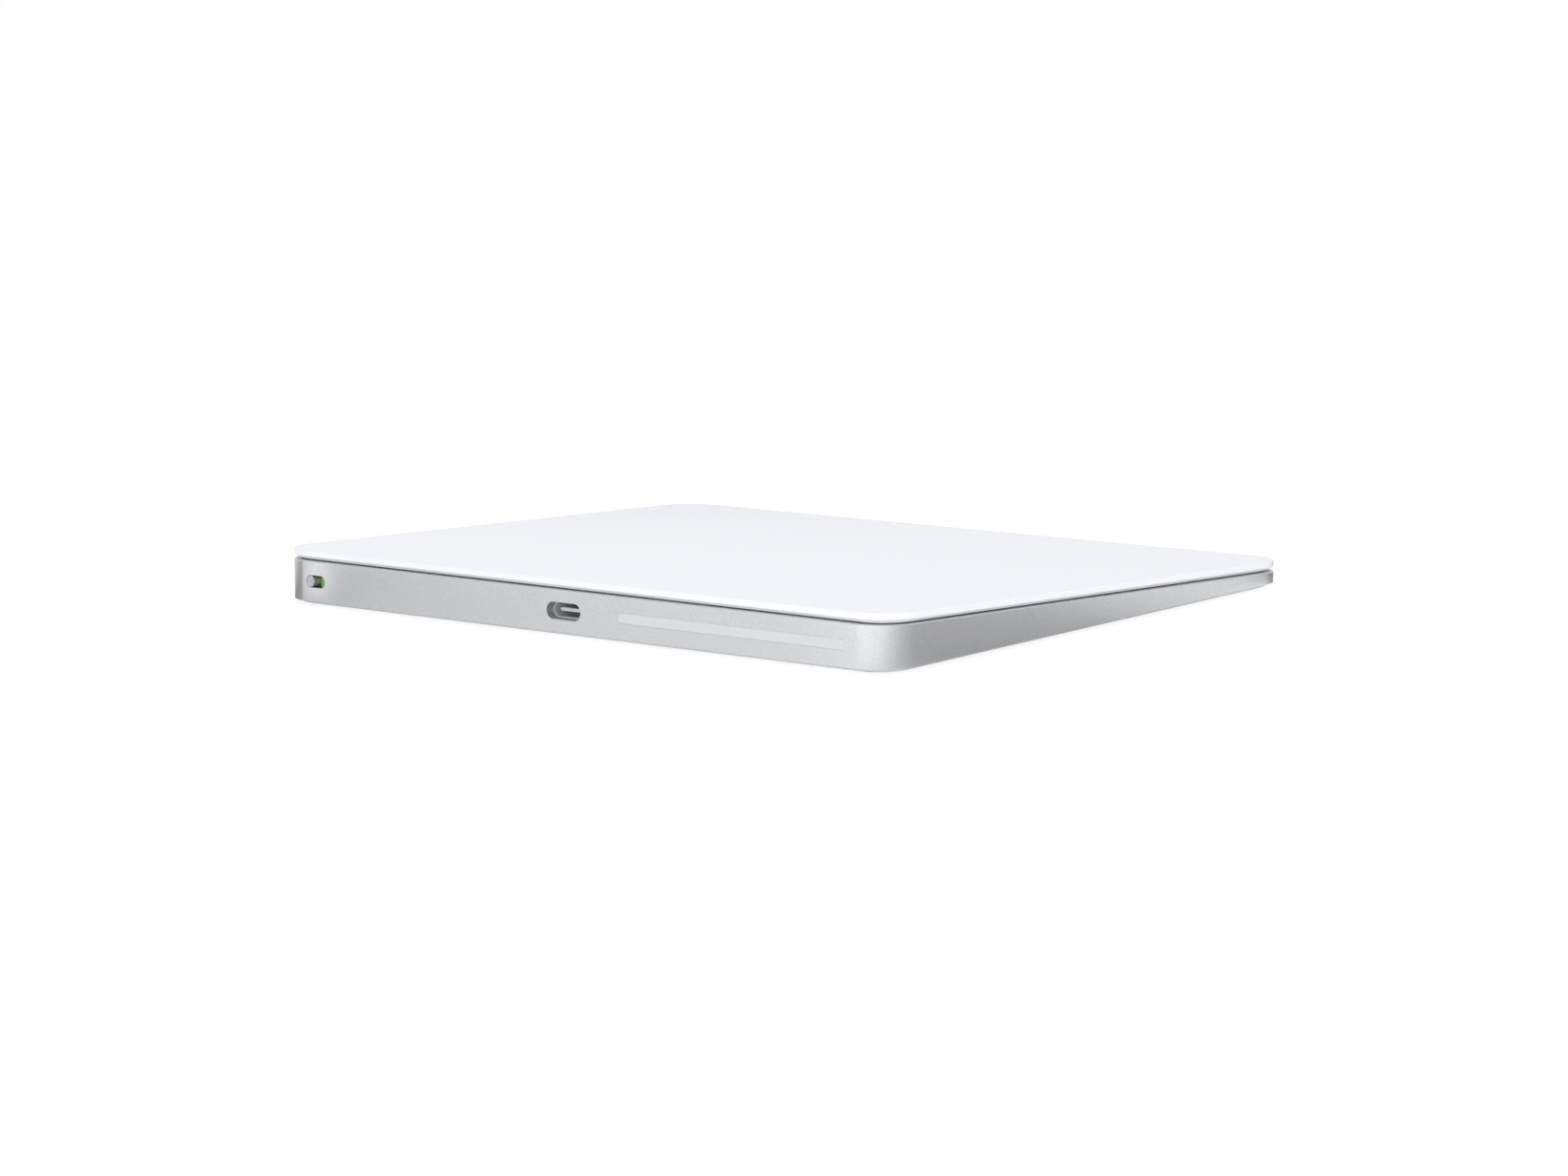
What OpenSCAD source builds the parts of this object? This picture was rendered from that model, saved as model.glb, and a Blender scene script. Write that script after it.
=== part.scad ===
// Wireless trackpad: a glass touch pad on a sprung haptic suspension, carried
// in a wedge-shaped aluminium tray that a moulded cover closes from below.
// +X is the user's right, +Y the thick rear edge, +Z up, and z = 0 is the desk.
// The slope frame is the same frame laid on the glass: x, then v up the slope
// towards the rear, then w square to the glass, with w = 0 on its upper face.

/* [Overall] */
// Width of the glass and of the tray
pad_w = 160; // [156:1:190]
// Depth of the glass, measured along its slope
pad_d = 114.5; // [112:0.5:140]
// Height of the glass over the desk at the rear edge
rear_h = 10.9; // [10.7:0.1:13]
// Height of the glass over the desk at the front edge
front_h = 4.9; // [4.8:0.1:6]
// Radius of the corners seen square to the glass
corner_r = 7.4; // [6.5:0.1:9]

/* [Touch pad] */
// Thickness of the glass
glass_t = 1.4; // [1.1:0.1:1.5]
// Rounding of the upper and lower rim of the glass
glass_round = 0.3; // [0.1:0.05:0.45]
// Height of the shadow gap between the glass and the tray
reveal = 0.72; // [0.5:0.02:0.9]
// Setback of the trim ring from the rim of the glass
ring_inset = 1.4; // [1:0.1:1.6]
// Width of the trim ring
ring_w = 1; // [0.6:0.1:1.4]
// Gap under the trim ring that the pad sinks into when pressed
press_gap = 0.2; // [0.16:0.02:0.4]
// Thickness of the touch sensor board
sensor_t = 0.5; // [0.4:0.05:0.6]
// Thickness of the plate that stiffens the sensor board
stiffener_t = 0.7; // [0.5:0.05:0.8]
// Side of the square touch controller chip
controller_w = 8; // [6:0.5:10]
// Height of the touch controller chip
controller_t = 0.6; // [0.4:0.05:0.65]

/* [Tray] */
// Wall thickness of the tray
wall_t = 1.7; // [1.5:0.1:2.2]
// Thickness of the tray floor
floor_t = 0.6; // [0.5:0.05:0.65]
// Bright chamfer round the upper lip of the tray
lip_chamfer = 0.15; // [0.05:0.05:0.3]
// Width of the tray skirt that surrounds the cover
skirt_w = 1.3; // [1:0.1:1.6]

/* [Cover and feet] */
// Thickness of the cover
cover_t = 1.1; // [1:0.05:1.2]
// How far the cover stands out below the tray
cover_proud = 0.7; // [0.4:0.05:0.8]
// Rounding of the lower rim of the cover
cover_round = 0.4; // [0.2:0.05:0.6]
// Thickness of the adhesive layers
glue_t = 0.1; // [0.05:0.05:0.15]
// Width of the adhesive frame under the tray floor
glue_w = 6; // [3:0.5:8]
// Diameter of a foot
foot_d = 8; // [6:0.5:12]
// Thickness of a foot
foot_t = 0.6; // [0.4:0.05:0.8]
// How far a foot stands out below the cover
foot_proud = 0.2; // [0.1:0.05:0.3]
// Distance of the foot centres from the sides of the tray
foot_inset_x = 14; // [10:0.5:30]
// Distance of the foot centres from the front and rear of the tray
foot_inset_y = 11.25; // [10:0.25:30]

/* [Rear wall] */
// Width of the port opening in the wall
port_w = 8.9; // [8.6:0.05:9.6]
// Height of the port opening in the wall
port_h = 3.2; // [2.9:0.05:3.6]
// Least distance from the antenna window's inner end to the middle of the port
port_room = 14.2; // [14:0.1:20]
// Length of the antenna window
window_len = 56; // [40:1:58]
// Height of the antenna window
window_h = 1.85; // [1.4:0.05:2.4]
// Distance of the antenna window's outer end from the side of the tray
window_end = 9.8; // [9:0.1:16]
// Width of the antenna window's flange all round, inside the wall
flange_w = 0.9; // [0.5:0.1:1.2]
// Thickness of the antenna window's flange
flange_t = 0.5; // [0.3:0.05:0.7]

/* [Power switch] */
// Distance of the switch knob, when on, from the side of the tray
switch_end = 9.35; // [9.2:0.05:12]
// Travel of the switch knob
switch_travel = 3; // [2:0.1:3.4]
// Diameter of the switch knob
knob_d = 2.3; // [1.8:0.05:2.6]
// How far the knob stands out of the wall
knob_proud = 0.05; // [0:0.05:0.3]
// Thickness of the sliding carriage behind the wall
carriage_t = 0.8; // [0.6:0.05:0.9]
// Height of the sliding carriage
carriage_h = 3.6; // [3.2:0.1:3.8]
// Thickness of the coloured indicator let into the carriage
indicator_t = 0.2; // [0.1:0.05:0.3]
// Width of the lever that works the slide switch
lever_w = 1.5; // [1:0.1:2]
// Height of the lever
lever_h = 1; // [0.8:0.1:1.4]
// Depth of the switch housing behind the carriage
housing_d = 3.1; // [2.5:0.1:3.4]

/* [Port] */
// Width of the socket inside its shell
socket_w = 8.34; // [8.2:0.02:8.5]
// Height of the socket inside its shell
socket_h = 2.56; // [2.5:0.02:2.7]
// Wall of the socket shell
shell_wall = 0.3; // [0.2:0.02:0.36]
// Length of the socket shell
shell_len = 7.3; // [6.5:0.1:8]
// Width of the contact tongue
tongue_w = 6.69; // [6.5:0.01:6.8]
// Thickness of the contact tongue
tongue_t = 0.7; // [0.6:0.02:0.8]
// Setback of the tongue from the mouth of the shell
tongue_setback = 0.7; // [0.4:0.05:1.2]
// Depth of the moulded block that carries the tongue
tongue_root = 1.8; // [1.2:0.1:2.4]
// Contacts on each face of the tongue
contact_n = 12; // [6:1:12]
// Spacing of the contacts
contact_pitch = 0.5; // [0.45:0.01:0.52]
// Thickness of the sheet that clamps the shell to the board
clamp_t = 0.3; // [0.2:0.05:0.4]
// Length of the clamp along the shell
clamp_len = 2.4; // [2.2:0.1:2.6]
// Spread of the clamp's ears to each side
clamp_reach = 8.6; // [8.4:0.1:9]

/* [Logic board] */
// Thickness of the logic board
board_t = 0.6; // [0.4:0.05:0.7]
// Depth of the logic board
board_d = 8.8; // [8.4:0.1:9.4]
// Room between the board and the inside of the rear wall
board_gap = 1.25; // [1.1:0.05:1.5]
// Room between the shield can and its neighbours on the board
can_gap = 1.6; // [0.8:0.1:3]
// Height of the shield can
can_h = 1.3; // [1.1:0.1:2]
// Height of the chips on the board
chip_h = 0.8; // [0.5:0.05:0.85]
// Width of a chip under the shield can
chip_w = 5.5; // [4:0.5:6]
// Room in front of and behind the chips under the shield can
chip_gap = 1.5; // [1:0.1:2.5]
// Width of the battery's connector
plug_w = 6; // [5:0.5:8]
// Width of the touch pad's connector
pad_plug_w = 8; // [6:0.5:9]
// Depth of the connectors
plug_d = 2.2; // [1.8:0.1:2.4]
// Height of the connectors
plug_h = 1; // [0.8:0.05:1.1]
// Room between neighbours on the board
plug_gap = 0.9; // [0.6:0.1:1.5]
// Thickness of the ribbons and of the antenna strip
ribbon_t = 0.15; // [0.1:0.01:0.2]
// Sheet thickness of the shield can
can_t = 0.2; // [0.15:0.05:0.3]

/* [Battery] */
// Width of the battery cell
cell_w = 104; // [80:1:116]
// Depth of the battery cell
cell_d = 38; // [30:0.5:40]
// Room left between the cell and the stiffener above it
cell_air = 0.4; // [0.3:0.05:0.8]
// Depth of the battery's protection board
guard_d = 3.5; // [3:0.1:4]
// Length of the battery's protection board
guard_len = 84; // [70:1:92]

/* [Suspension] */
// Thickness of the flexure plates
flexure_t = 0.5; // [0.3:0.05:0.6]
// Width of a flexure plate's ends
flexure_w = 10; // [8:0.5:11]
// Width of a flexure plate's neck
neck_w = 5; // [3:0.5:7]
// Length of a flexure plate's screwed end
root_len = 9; // [8.5:0.5:11]
// Length of a flexure plate's neck
neck_len = 7; // [5:0.5:8]
// Length of a flexure plate's free end
tip_len = 8; // [7:0.5:9]
// Distance of the flexure plates' centre line from the side of the tray
flexure_side = 9; // [8.5:0.25:11]
// Distance of the free ends from the front and rear of the glass
flexure_end = 14.75; // [14:0.25:18]
// Thickness of the gel pads
gel_t = 0.8; // [0.6:0.05:0.9]
// Width of a gel pad
gel_w = 8; // [6:0.5:9.5]
// Depth of a gel pad
gel_d = 6; // [4:0.5:7]

/* [Haptic drive] */
// Length of the haptic drive
drive_len = 70; // [60:1:76]
// Depth of the haptic drive
drive_d = 15; // [14.5:0.1:16]
// Thickness of the drive's base plate
base_t = 0.5; // [0.4:0.05:0.6]
// Teeth on the iron core
tooth_n = 4; // [3:1:5]
// Width of a core tooth
tooth_w = 5; // [4:0.25:6]
// Length of a core tooth
tooth_len = 5.9; // [5:0.1:6]
// Depth of the core's back bar
yoke_d = 3; // [2.5:0.1:3.4]
// Thickness of the iron core
core_t = 1.6; // [1.2:0.1:1.8]
// Thickness of the coil windings above and below a tooth
coil_t = 0.85; // [0.5:0.05:0.95]
// Room between the core and the stiffener
core_air = 1.5; // [1.2:0.1:1.7]
// Air gap between the core and the attraction plate
air_gap = 0.5; // [0.35:0.05:0.7]
// Depth of the attraction plate
armature_d = 3.4; // [2.5:0.1:3.6]

/* [Fasteners] */
// Head diameter of the screws
head_d = 2.6; // [2.2:0.1:2.8]
// Head height of the screws
head_h = 0.45; // [0.3:0.05:0.5]
// Shank diameter of the screws
shank_d = 1.4; // [1:0.1:1.5]
// Depth that a screw reaches into its seat
bite = 0.7; // [0.4:0.05:0.75]

/* [Clearances] */
// Gap round pieces that are fitted together
fit_gap = 0.05; // [0.02:0.01:0.08]
// Running gap round sliding pieces
run_gap = 0.1; // [0.05:0.01:0.15]
// Room round pieces that drop into windows of the tray floor
drop_gap = 0.5; // [0.3:0.1:1]

/* [Hidden] */
$fn = 64;

// The slope of the glass and the levels of the tray over the desk
tilt = asin((rear_h - front_h) / pad_d);
half_v = pad_d / 2;
mid_h = (rear_h + front_h) / 2;
alu_z = foot_proud + cover_proud;
cover_top_z = foot_proud + cover_t;
floor_bot_z = cover_top_z + glue_t;
floor_top_z = floor_bot_z + floor_t;
// The slope frame's shift centres the whole object over the origin
slope_y = -(rear_h - alu_z) * tan(tilt) / 2;
// The tray's foot print where the flat underside cuts its leaning walls
plan_d = pad_d / cos(tilt);
plan_y = slope_y + (mid_h - alu_z) * tan(tilt);
cover_gap = run_gap;
cover_inset = skirt_w + cover_gap;
// A length that reaches past the whole object
beyond = 2 * pad_w;

// Levels square to the glass
glass_w = -glass_t;
ledge_w = glass_w - reveal;
ring_bot_w = ledge_w + press_gap;
sensor_w = glass_w - sensor_t;
stiff_w = sensor_w - stiffener_t;
gel_bot_w = stiff_w - gel_t;
flexure_bot_w = gel_bot_w - flexure_t;
wall_bot_w = w_at(half_v, alu_z);
wall_mid_w = (ledge_w + wall_bot_w) / 2;
wall_in_v = half_v - wall_t;
sensor_inset = ring_inset + ring_w + run_gap;

// The rear wall: the window at the left, the port in the middle if it has room
window_x0 = -(pad_w / 2 - window_end);
window_x1 = window_x0 + window_len;
window_x = (window_x0 + window_x1) / 2;
port_x = max(0, window_x1 + port_room);

// The power switch
knob_x = pad_w / 2 - switch_end;
slot_h = knob_d + 2 * fit_gap;
stud_d = knob_d * 0.6;
carriage_v1 = wall_in_v - run_gap;
carriage_v0 = carriage_v1 - carriage_t;
housing_v1 = carriage_v0 - run_gap;
housing_v0 = housing_v1 - housing_d;
housing_end = knob_d / 2 + lever_w + 1;
housing_x0 = knob_x - switch_travel - housing_end - 2;
housing_x1 = knob_x + housing_end;
lip_t = 0.25;
ear_t = 0.8;
ear_w = head_d + 0.4;
ear_x0 = housing_x0 - ear_w - 0.2;
groove_d = 1;
lever_v0 = housing_v0 - 1.9;
slider_d = 3.8;
slider_h = 2.65;

// The logic board lies under the socket, against the rear wall
board_top_w = wall_mid_w - socket_h / 2 - shell_wall;
board_bot_w = board_top_w - board_t;
board_v1 = wall_in_v - board_gap;
board_v0 = board_v1 - board_d;
board_x0 = window_x1 + 1.7;
board_x1 = pad_w / 2 - 5;
rail_d = 3;
clamp_screw_x = clamp_reach - head_d / 2 - 0.2;
clamp_screw_v = wall_in_v - 2.4;
board_screw_v = board_v0 + head_d / 2 + 0.3;

// Where the pieces on the board sit along it, from the switch to the port
pad_plug_x = ear_x0 - plug_gap - pad_plug_w / 2;
pad_plug_v = board_v1 - plug_d;
battery_plug_x = pad_plug_x + (pad_plug_w - plug_w) / 2;
battery_plug_v = board_v0 + plug_d / 2 + 0.5;
board_screw_x = [
    board_x0 + head_d / 2 + 0.7,
    port_x + clamp_reach + head_d / 2 + 1.2,
    battery_plug_x - plug_w / 2 - plug_gap - head_d / 2
];
board_bite = bite - 0.25;
can_x0 = board_screw_x[1] + head_d / 2 + can_gap;
can_x1 = board_screw_x[2] - head_d / 2 - can_gap;

// The battery's protection board and the ribbon from its right end
guard_x1 = cell_w / 2 - 1;
guard_x0 = guard_x1 - guard_len;
ribbon_w = plug_w - 1;
ribbon_x = guard_x1 - ribbon_w / 2 - 0.5;

// The haptic drive lies in front of the board, clear of the battery's ribbon
drive_x = min(0, min(ribbon_x, battery_plug_x) - ribbon_w / 2 - 2 - drive_len / 2);
drive_v1 = board_v0 - 1.5;
drive_v0 = drive_v1 - drive_d;
drive_seat_w = w_at(drive_v0, floor_top_z) + 0.25;
base_top_w = drive_seat_w + base_t;
core_top_w = stiff_w - core_air;
core_bot_w = core_top_w - core_t;
core_v0 = drive_v0 + 0.8;
tooth_v0 = core_v0 + yoke_d;
tooth_v1 = tooth_v0 + tooth_len;
core_len = drive_len - 2 * head_d - 2.8;
tooth_pitch = (core_len - 2) / tooth_n;
armature_v0 = tooth_v1 + air_gap;
drive_screw_x = drive_len / 2 - head_d / 2 - 0.3;
drive_screw_v = [tooth_v0 + head_d / 2 + 0.4, drive_v1 - head_d / 2 - 0.3];

// The battery fills the bay in front of the drive
guard_y1 = y_at(drive_v0, drive_seat_w) - 2.3;
guard_y0 = guard_y1 - guard_d;
cell_y1 = guard_y0 - 0.3;
cell_y0 = cell_y1 - cell_d;
cell_z0 = floor_bot_z;
cell_t = z_at(v_at(cell_y0, stiff_w), stiff_w) - cell_air - cell_z0;
guard_t = 0.6;

// The suspension's four corners
flexure_x = pad_w / 2 - flexure_side;
flexure_v = half_v - flexure_end;
tip_v = flexure_v - tip_len / 2;
root_v = flexure_v - tip_len - neck_len - root_len / 2;
root_screw_x = flexure_w / 2 - head_d / 2 - 0.4;
gauge_t = 0.12;
CORNERS = [[-1, -1], [1, -1], [-1, 1], [1, 1]];

// Height w of the level z over the desk, at the slope position v
function w_at(v, z) = (z - mid_h - v * sin(tilt)) / cos(tilt);
// Height z over the desk of a point of the slope frame
function z_at(v, w) = mid_h + v * sin(tilt) + w * cos(tilt);
// Distance y of a point of the slope frame
function y_at(v, w) = slope_y + v * cos(tilt) - w * sin(tilt);
// Slope position v of a point at distance y and height w
function v_at(y, w) = (y - slope_y + w * sin(tilt)) / cos(tilt);

// Places its children in the slope frame
module slope() {
    translate([0, slope_y, mid_h])
        rotate([tilt, 0, 0])
            children();
}

// Extrudes a drawing in x and w from v0 back to v1, about the wall's middle
module along_v(v0, v1, x = 0, w = wall_mid_w) {
    slope()
        translate([x, v1, w])
            rotate([90, 0, 0])
                linear_extrude(v1 - v0)
                    children();
}

// Extrudes a drawing in x and v between two levels of the slope frame
module along_w(w0, w1) {
    slope()
        translate([0, 0, w0])
            linear_extrude(w1 - w0)
                children();
}

// Everything above a level over the desk
module above(z) {
    translate([-beyond / 2, -beyond / 2, z])
        cube([beyond, beyond, beyond]);
}

// Rectangle between two corners
module area(x0, x1, y0, y1) {
    translate([x0, y0])
        square([x1 - x0, y1 - y0]);
}

// Rectangle with rounded corners, centred on the origin
module round_rect(w, d, r) {
    square([w, d - 2 * r], center = true);
    square([w - 2 * r, d], center = true);
    for (x = [-1, 1], y = [-1, 1])
        translate([x * (w / 2 - r), y * (d / 2 - r)])
            circle(r);
}

// Slot shape with half-round ends, centred on the origin
module stadium(len, h) {
    square([len - h, h], center = true);
    for (s = [-1, 1])
        translate([s * (len - h) / 2, 0])
            circle(d = h);
}

// Plate with rounded corners whose rim follows a profile, drawn from the
// corner's axis at x = 0 out to the rim at x = r, between y = 0 and y = t
module rimmed_plate(w, d, r, t) {
    translate([-(w / 2 - r), -(d / 2 - r), 0])
        cube([w - 2 * r, d - 2 * r, t]);
    for (k = [0 : 3]) {
        across = k % 2 == 0 ? w : d;
        along = k % 2 == 0 ? d : w;
        rotate([0, 0, 90 * k]) {
            translate([across / 2 - r, along / 2 - r, 0])
                rotate_extrude(angle = 90)
                    children();
            translate([across / 2 - r, along / 2 - r, 0])
                rotate([90, 0, 0])
                    linear_extrude(along - 2 * r)
                        children();
        }
    }
}

// Rim profile with both edges rounded
module rounded_rim(r, t, top_r, low_r) {
    area(0, r, low_r, t - top_r);
    area(0, r - low_r, 0, t - top_r);
    area(0, r - top_r, low_r, t);
    translate([r - top_r, t - top_r])
        circle(top_r);
    translate([r - low_r, low_r])
        circle(low_r);
}

// Screw whose head rests on w = 0 of its own seat
module screw(reach) {
    cylinder(d = head_d, h = head_h);
    translate([0, 0, -reach])
        cylinder(d = shank_d, h = reach + head_h / 2);
}

// Screws at places x, v of the slope frame, with their heads on the level w
module screws(places, w, reach) {
    for (p = places)
        slope()
            translate([p[0], p[1], w])
                screw(reach);
}

// Outline of the cover as seen from above, grown or shrunk by a margin
module cover_outline(grow) {
    translate([0, plan_y])
        round_rect(pad_w - 2 * cover_inset + 2 * grow, plan_d - 2 * cover_inset + 2 * grow,
            corner_r - cover_inset + grow);
}

// Window of the tray floor that the battery drops into
module battery_bay() {
    area(-cell_w / 2 - drop_gap, cell_w / 2 + drop_gap, cell_y0 - drop_gap, guard_y1 + drop_gap);
}

// Room round the free end of the front flexures, s = -1 left or 1 right
module tip_room(s) {
    side = flexure_w / 2 + drop_gap;
    area(s * flexure_x - side, s * flexure_x + side, -flexure_v - drop_gap, -root_v - root_len / 2);
}

// Where the flexures' screws stand
function root_screws() = [
    for (c = CORNERS, s = [-1, 1]) [c[0] * flexure_x + s * root_screw_x, c[1] * root_v]
];

// Where the haptic drive's screws stand
function drive_screws() = [for (s = [-1, 1], v = drive_screw_v) [drive_x + s * drive_screw_x, v]];

// Where the board's own screws stand
function board_screws_at() = [for (x = board_screw_x) [x, board_screw_v]];

// Where the port clamp's screws stand
function clamp_screws_at() = [for (s = [-1, 1]) [port_x + s * clamp_screw_x, clamp_screw_v]];

// Where the switch housing's screw stands
function housing_screw_at() = [[housing_x0 - ear_w / 2, clamp_screw_v]];

// Leaning shell of the tray, with its floor and the recess for the cover
module tray_shell() {
    depth = ledge_w - wall_bot_w + 1;
    difference() {
        intersection() {
            slope()
                translate([0, 0, ledge_w - depth])
                    rimmed_plate(pad_w, pad_d, corner_r, depth)
                        polygon([
                            [0, 0],
                            [corner_r, 0],
                            [corner_r, depth - lip_chamfer],
                            [corner_r - lip_chamfer, depth],
                            [0, depth]
                        ]);
            above(alu_z);
        }
        intersection() {
            along_w(wall_bot_w, 1)
                round_rect(pad_w - 2 * wall_t, pad_d - 2 * wall_t, corner_r - wall_t);
            above(floor_top_z);
        }
        linear_extrude(floor_bot_z)
            cover_outline(cover_gap);
    }
}

// Seats that rise from the tray floor: flexure ledges, drive bed, board rails
module tray_seats() {
    seat_x = pad_w / 2 - wall_t / 2;
    intersection() {
        union() {
            for (c = CORNERS)
                along_w(wall_bot_w, flexure_bot_w)
                    translate([c[0] * (seat_x + flexure_x - flexure_w / 2) / 2, c[1] * root_v])
                        square([seat_x - flexure_x + flexure_w / 2, root_len], center = true);
            along_w(wall_bot_w, drive_seat_w)
                translate([drive_x, 0])
                    area(-drive_len / 2 - 1, drive_len / 2 + 1, drive_v0, drive_v1);
            along_w(wall_bot_w, board_bot_w) {
                area(window_x0 - 1, board_x1, wall_in_v - rail_d, wall_in_v + wall_t / 4);
                area(board_x0, board_x1, board_v0, board_v0 + rail_d);
            }
        }
        above(floor_bot_z + floor_t / 2);
    }
}

// Machined aluminium tray with all its openings and tapped holes
module enclosure() {
    color("#c9cbcd")
        difference() {
            union() {
                tray_shell();
                tray_seats();
            }
            linear_extrude(floor_top_z + 1)
                battery_bay();
            for (s = [-1, 1])
                along_w(wall_bot_w, gel_bot_w)
                    tip_room(s);
            along_w(board_bot_w, board_top_w)
                area(board_x0 - fit_gap, board_x1, board_v0 - fit_gap, wall_in_v - rail_d / 2);
            along_v(wall_in_v - 1, half_v + 1, port_x)
                stadium(port_w, port_h);
            along_v(wall_in_v - 1, half_v + 1, window_x)
                stadium(window_len + 2 * fit_gap, window_h + 2 * fit_gap);
            along_v(wall_in_v - 1, half_v + 1, knob_x - switch_travel / 2)
                stadium(switch_travel + slot_h, slot_h);
            for (p = root_screws())
                slope()
                    translate([p[0], p[1], flexure_bot_w - bite - fit_gap])
                        cylinder(d = shank_d, h = bite + 1);
            for (p = drive_screws())
                slope()
                    translate([p[0], p[1], drive_seat_w - bite])
                        cylinder(d = shank_d, h = bite + 1);
            for (p = concat(board_screws_at(), clamp_screws_at(), housing_screw_at()))
                slope()
                    translate([p[0], p[1], board_bot_w - board_bite])
                        cylinder(d = shank_d, h = board_bite + 1);
        }
}

// Moulded cover under the tray, with pockets for the feet
module bottom_cover() {
    r = corner_r - cover_inset;
    color("#e3e5e8")
        difference() {
            translate([0, plan_y, foot_proud])
                rimmed_plate(pad_w - 2 * cover_inset, plan_d - 2 * cover_inset, r, cover_t)
                    rounded_rim(r, cover_t, glue_t, cover_round);
            for (c = CORNERS)
                foot_place(c)
                    cylinder(d = foot_d + 2 * run_gap, h = foot_t);
        }
}

// Frame of adhesive between the tray floor and the cover
module cover_adhesive() {
    color("#55585c")
        translate([0, 0, cover_top_z])
            linear_extrude(glue_t)
                difference() {
                    cover_outline(-0.5);
                    cover_outline(-glue_w);
                    for (s = [-1, 1])
                        translate([0, slope_y])
                            tip_room(s);
                }
}

// Places its children at the centre of a foot
module foot_place(c) {
    translate([c[0] * (pad_w / 2 - foot_inset_x), plan_y + c[1] * (plan_d / 2 - foot_inset_y), 0])
        children();
}

// Thin round foot with a softened rim
module foot(c) {
    rim = foot_proud / 2;
    color("#d5d7da")
        foot_place(c)
            rotate_extrude()
                polygon([
                    [0, 0],
                    [foot_d / 2 - rim, 0],
                    [foot_d / 2, rim],
                    [foot_d / 2, foot_t],
                    [0, foot_t]
                ]);
}

// Plastic strip in the rear wall that lets radio waves through
module antenna_window() {
    color("#dcdde0") {
        along_v(wall_in_v, half_v, window_x)
            stadium(window_len, window_h);
        along_v(wall_in_v - flange_t, wall_in_v, window_x)
            stadium(window_len + 2 * flange_w, window_h + 2 * flange_w);
    }
}

// Moulded bar behind the window that holds the antenna off the metal
module antenna_carrier() {
    v1 = wall_in_v - flange_t;
    v0 = wall_in_v - rail_d + 0.3;
    pockets = 8;
    rib = 0.6;
    pitch = (window_len - 4) / pockets;
    color("#2c2e31")
        difference() {
            along_w(board_bot_w, wall_mid_w + window_h / 2 + flange_w)
                area(window_x0, window_x1, v0, v1);
            for (k = [0 : pockets - 1])
                along_w(board_bot_w - 1, wall_mid_w)
                    translate([window_x0 + 2 + pitch * k, 0])
                        area(rib, pitch - rib, v0 - 1, v1 - 0.8);
        }
}

// Folded antenna strip: a long arm on the carrier, and a feed down to the board
module antenna_element() {
    top = wall_mid_w + window_h / 2 + flange_w;
    v1 = wall_in_v - flange_t;
    x0 = window_x0;
    x1 = window_x1;
    stub_x = x1 - window_len / 7;
    color("#b8814a") {
        along_w(top, top + ribbon_t) {
            area(x0 + 2, x1 + ribbon_t, v1 - 0.7, v1);
            area(x0 + 2, x0 + 2.8, v1 - 1.7, v1);
            area(stub_x, stub_x + 0.8, v1 - 1.7, v1);
        }
        along_w(board_top_w, top + ribbon_t)
            area(x1, x1 + ribbon_t, v1 - 1.6, v1);
        along_w(board_top_w, board_top_w + ribbon_t)
            area(x1, board_x0 + 1.2, v1 - 1.6, v1 - 0.9);
    }
}

// Drawn steel shell of the charging socket
module port_shell() {
    color("#9a9da0")
        along_v(wall_in_v - fit_gap - shell_len, wall_in_v - fit_gap, port_x)
            difference() {
                stadium(socket_w + 2 * shell_wall, socket_h + 2 * shell_wall);
                stadium(socket_w, socket_h);
            }
}

// Moulded block at the back of the socket, with the tongue that it carries
module port_tongue() {
    mouth = wall_in_v - fit_gap;
    back = mouth - shell_len;
    color("#dfe1e3") {
        along_v(back, back + tongue_root, port_x)
            stadium(socket_w, socket_h);
        along_v(back, mouth - tongue_setback, port_x)
            stadium(tongue_w, tongue_t);
    }
}

// Contact strips on both faces of the tongue
module port_contacts() {
    strip_t = 0.05;
    strip_w = 0.25;
    mouth = wall_in_v - fit_gap;
    color("#c9a24a")
        for (s = [-1, 1], k = [0 : contact_n - 1])
            along_v(mouth - shell_len + tongue_root, mouth - tongue_setback - 0.5,
                    port_x + (k - (contact_n - 1) / 2) * contact_pitch,
                    wall_mid_w + s * (tongue_t + strip_t) / 2)
                square([strip_w, strip_t], center = true);
}

// Sheet saddle that holds the socket shell down on the board
module port_clamp() {
    inner_w = socket_w + 2 * shell_wall + 2 * fit_gap;
    inner_h = socket_h + 2 * shell_wall + 2 * fit_gap;
    foot_w = board_top_w - wall_mid_w;
    v0 = clamp_screw_v - clamp_len / 2;
    color("#a7aaad")
        difference() {
            along_v(v0, v0 + clamp_len, port_x)
                difference() {
                    union() {
                        stadium(inner_w + 2 * clamp_t, inner_h + 2 * clamp_t);
                        area(-inner_w / 2 - clamp_t, inner_w / 2 + clamp_t, foot_w, 0);
                        area(-clamp_reach, clamp_reach, foot_w, foot_w + clamp_t);
                    }
                    stadium(inner_w, inner_h);
                    area(-inner_w / 2, inner_w / 2, foot_w - 1, 0);
                    area(-clamp_reach, clamp_reach, foot_w - 1, foot_w);
                }
            for (p = clamp_screws_at())
                slope()
                    translate([p[0], p[1], board_bot_w])
                        cylinder(d = shank_d + 2 * fit_gap, h = board_t + 1);
        }
}

// Screws of the port clamp
module port_screws() {
    color("#8d9093")
        screws(clamp_screws_at(), board_top_w + clamp_t, clamp_t + board_t + board_bite - fit_gap);
}

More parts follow.
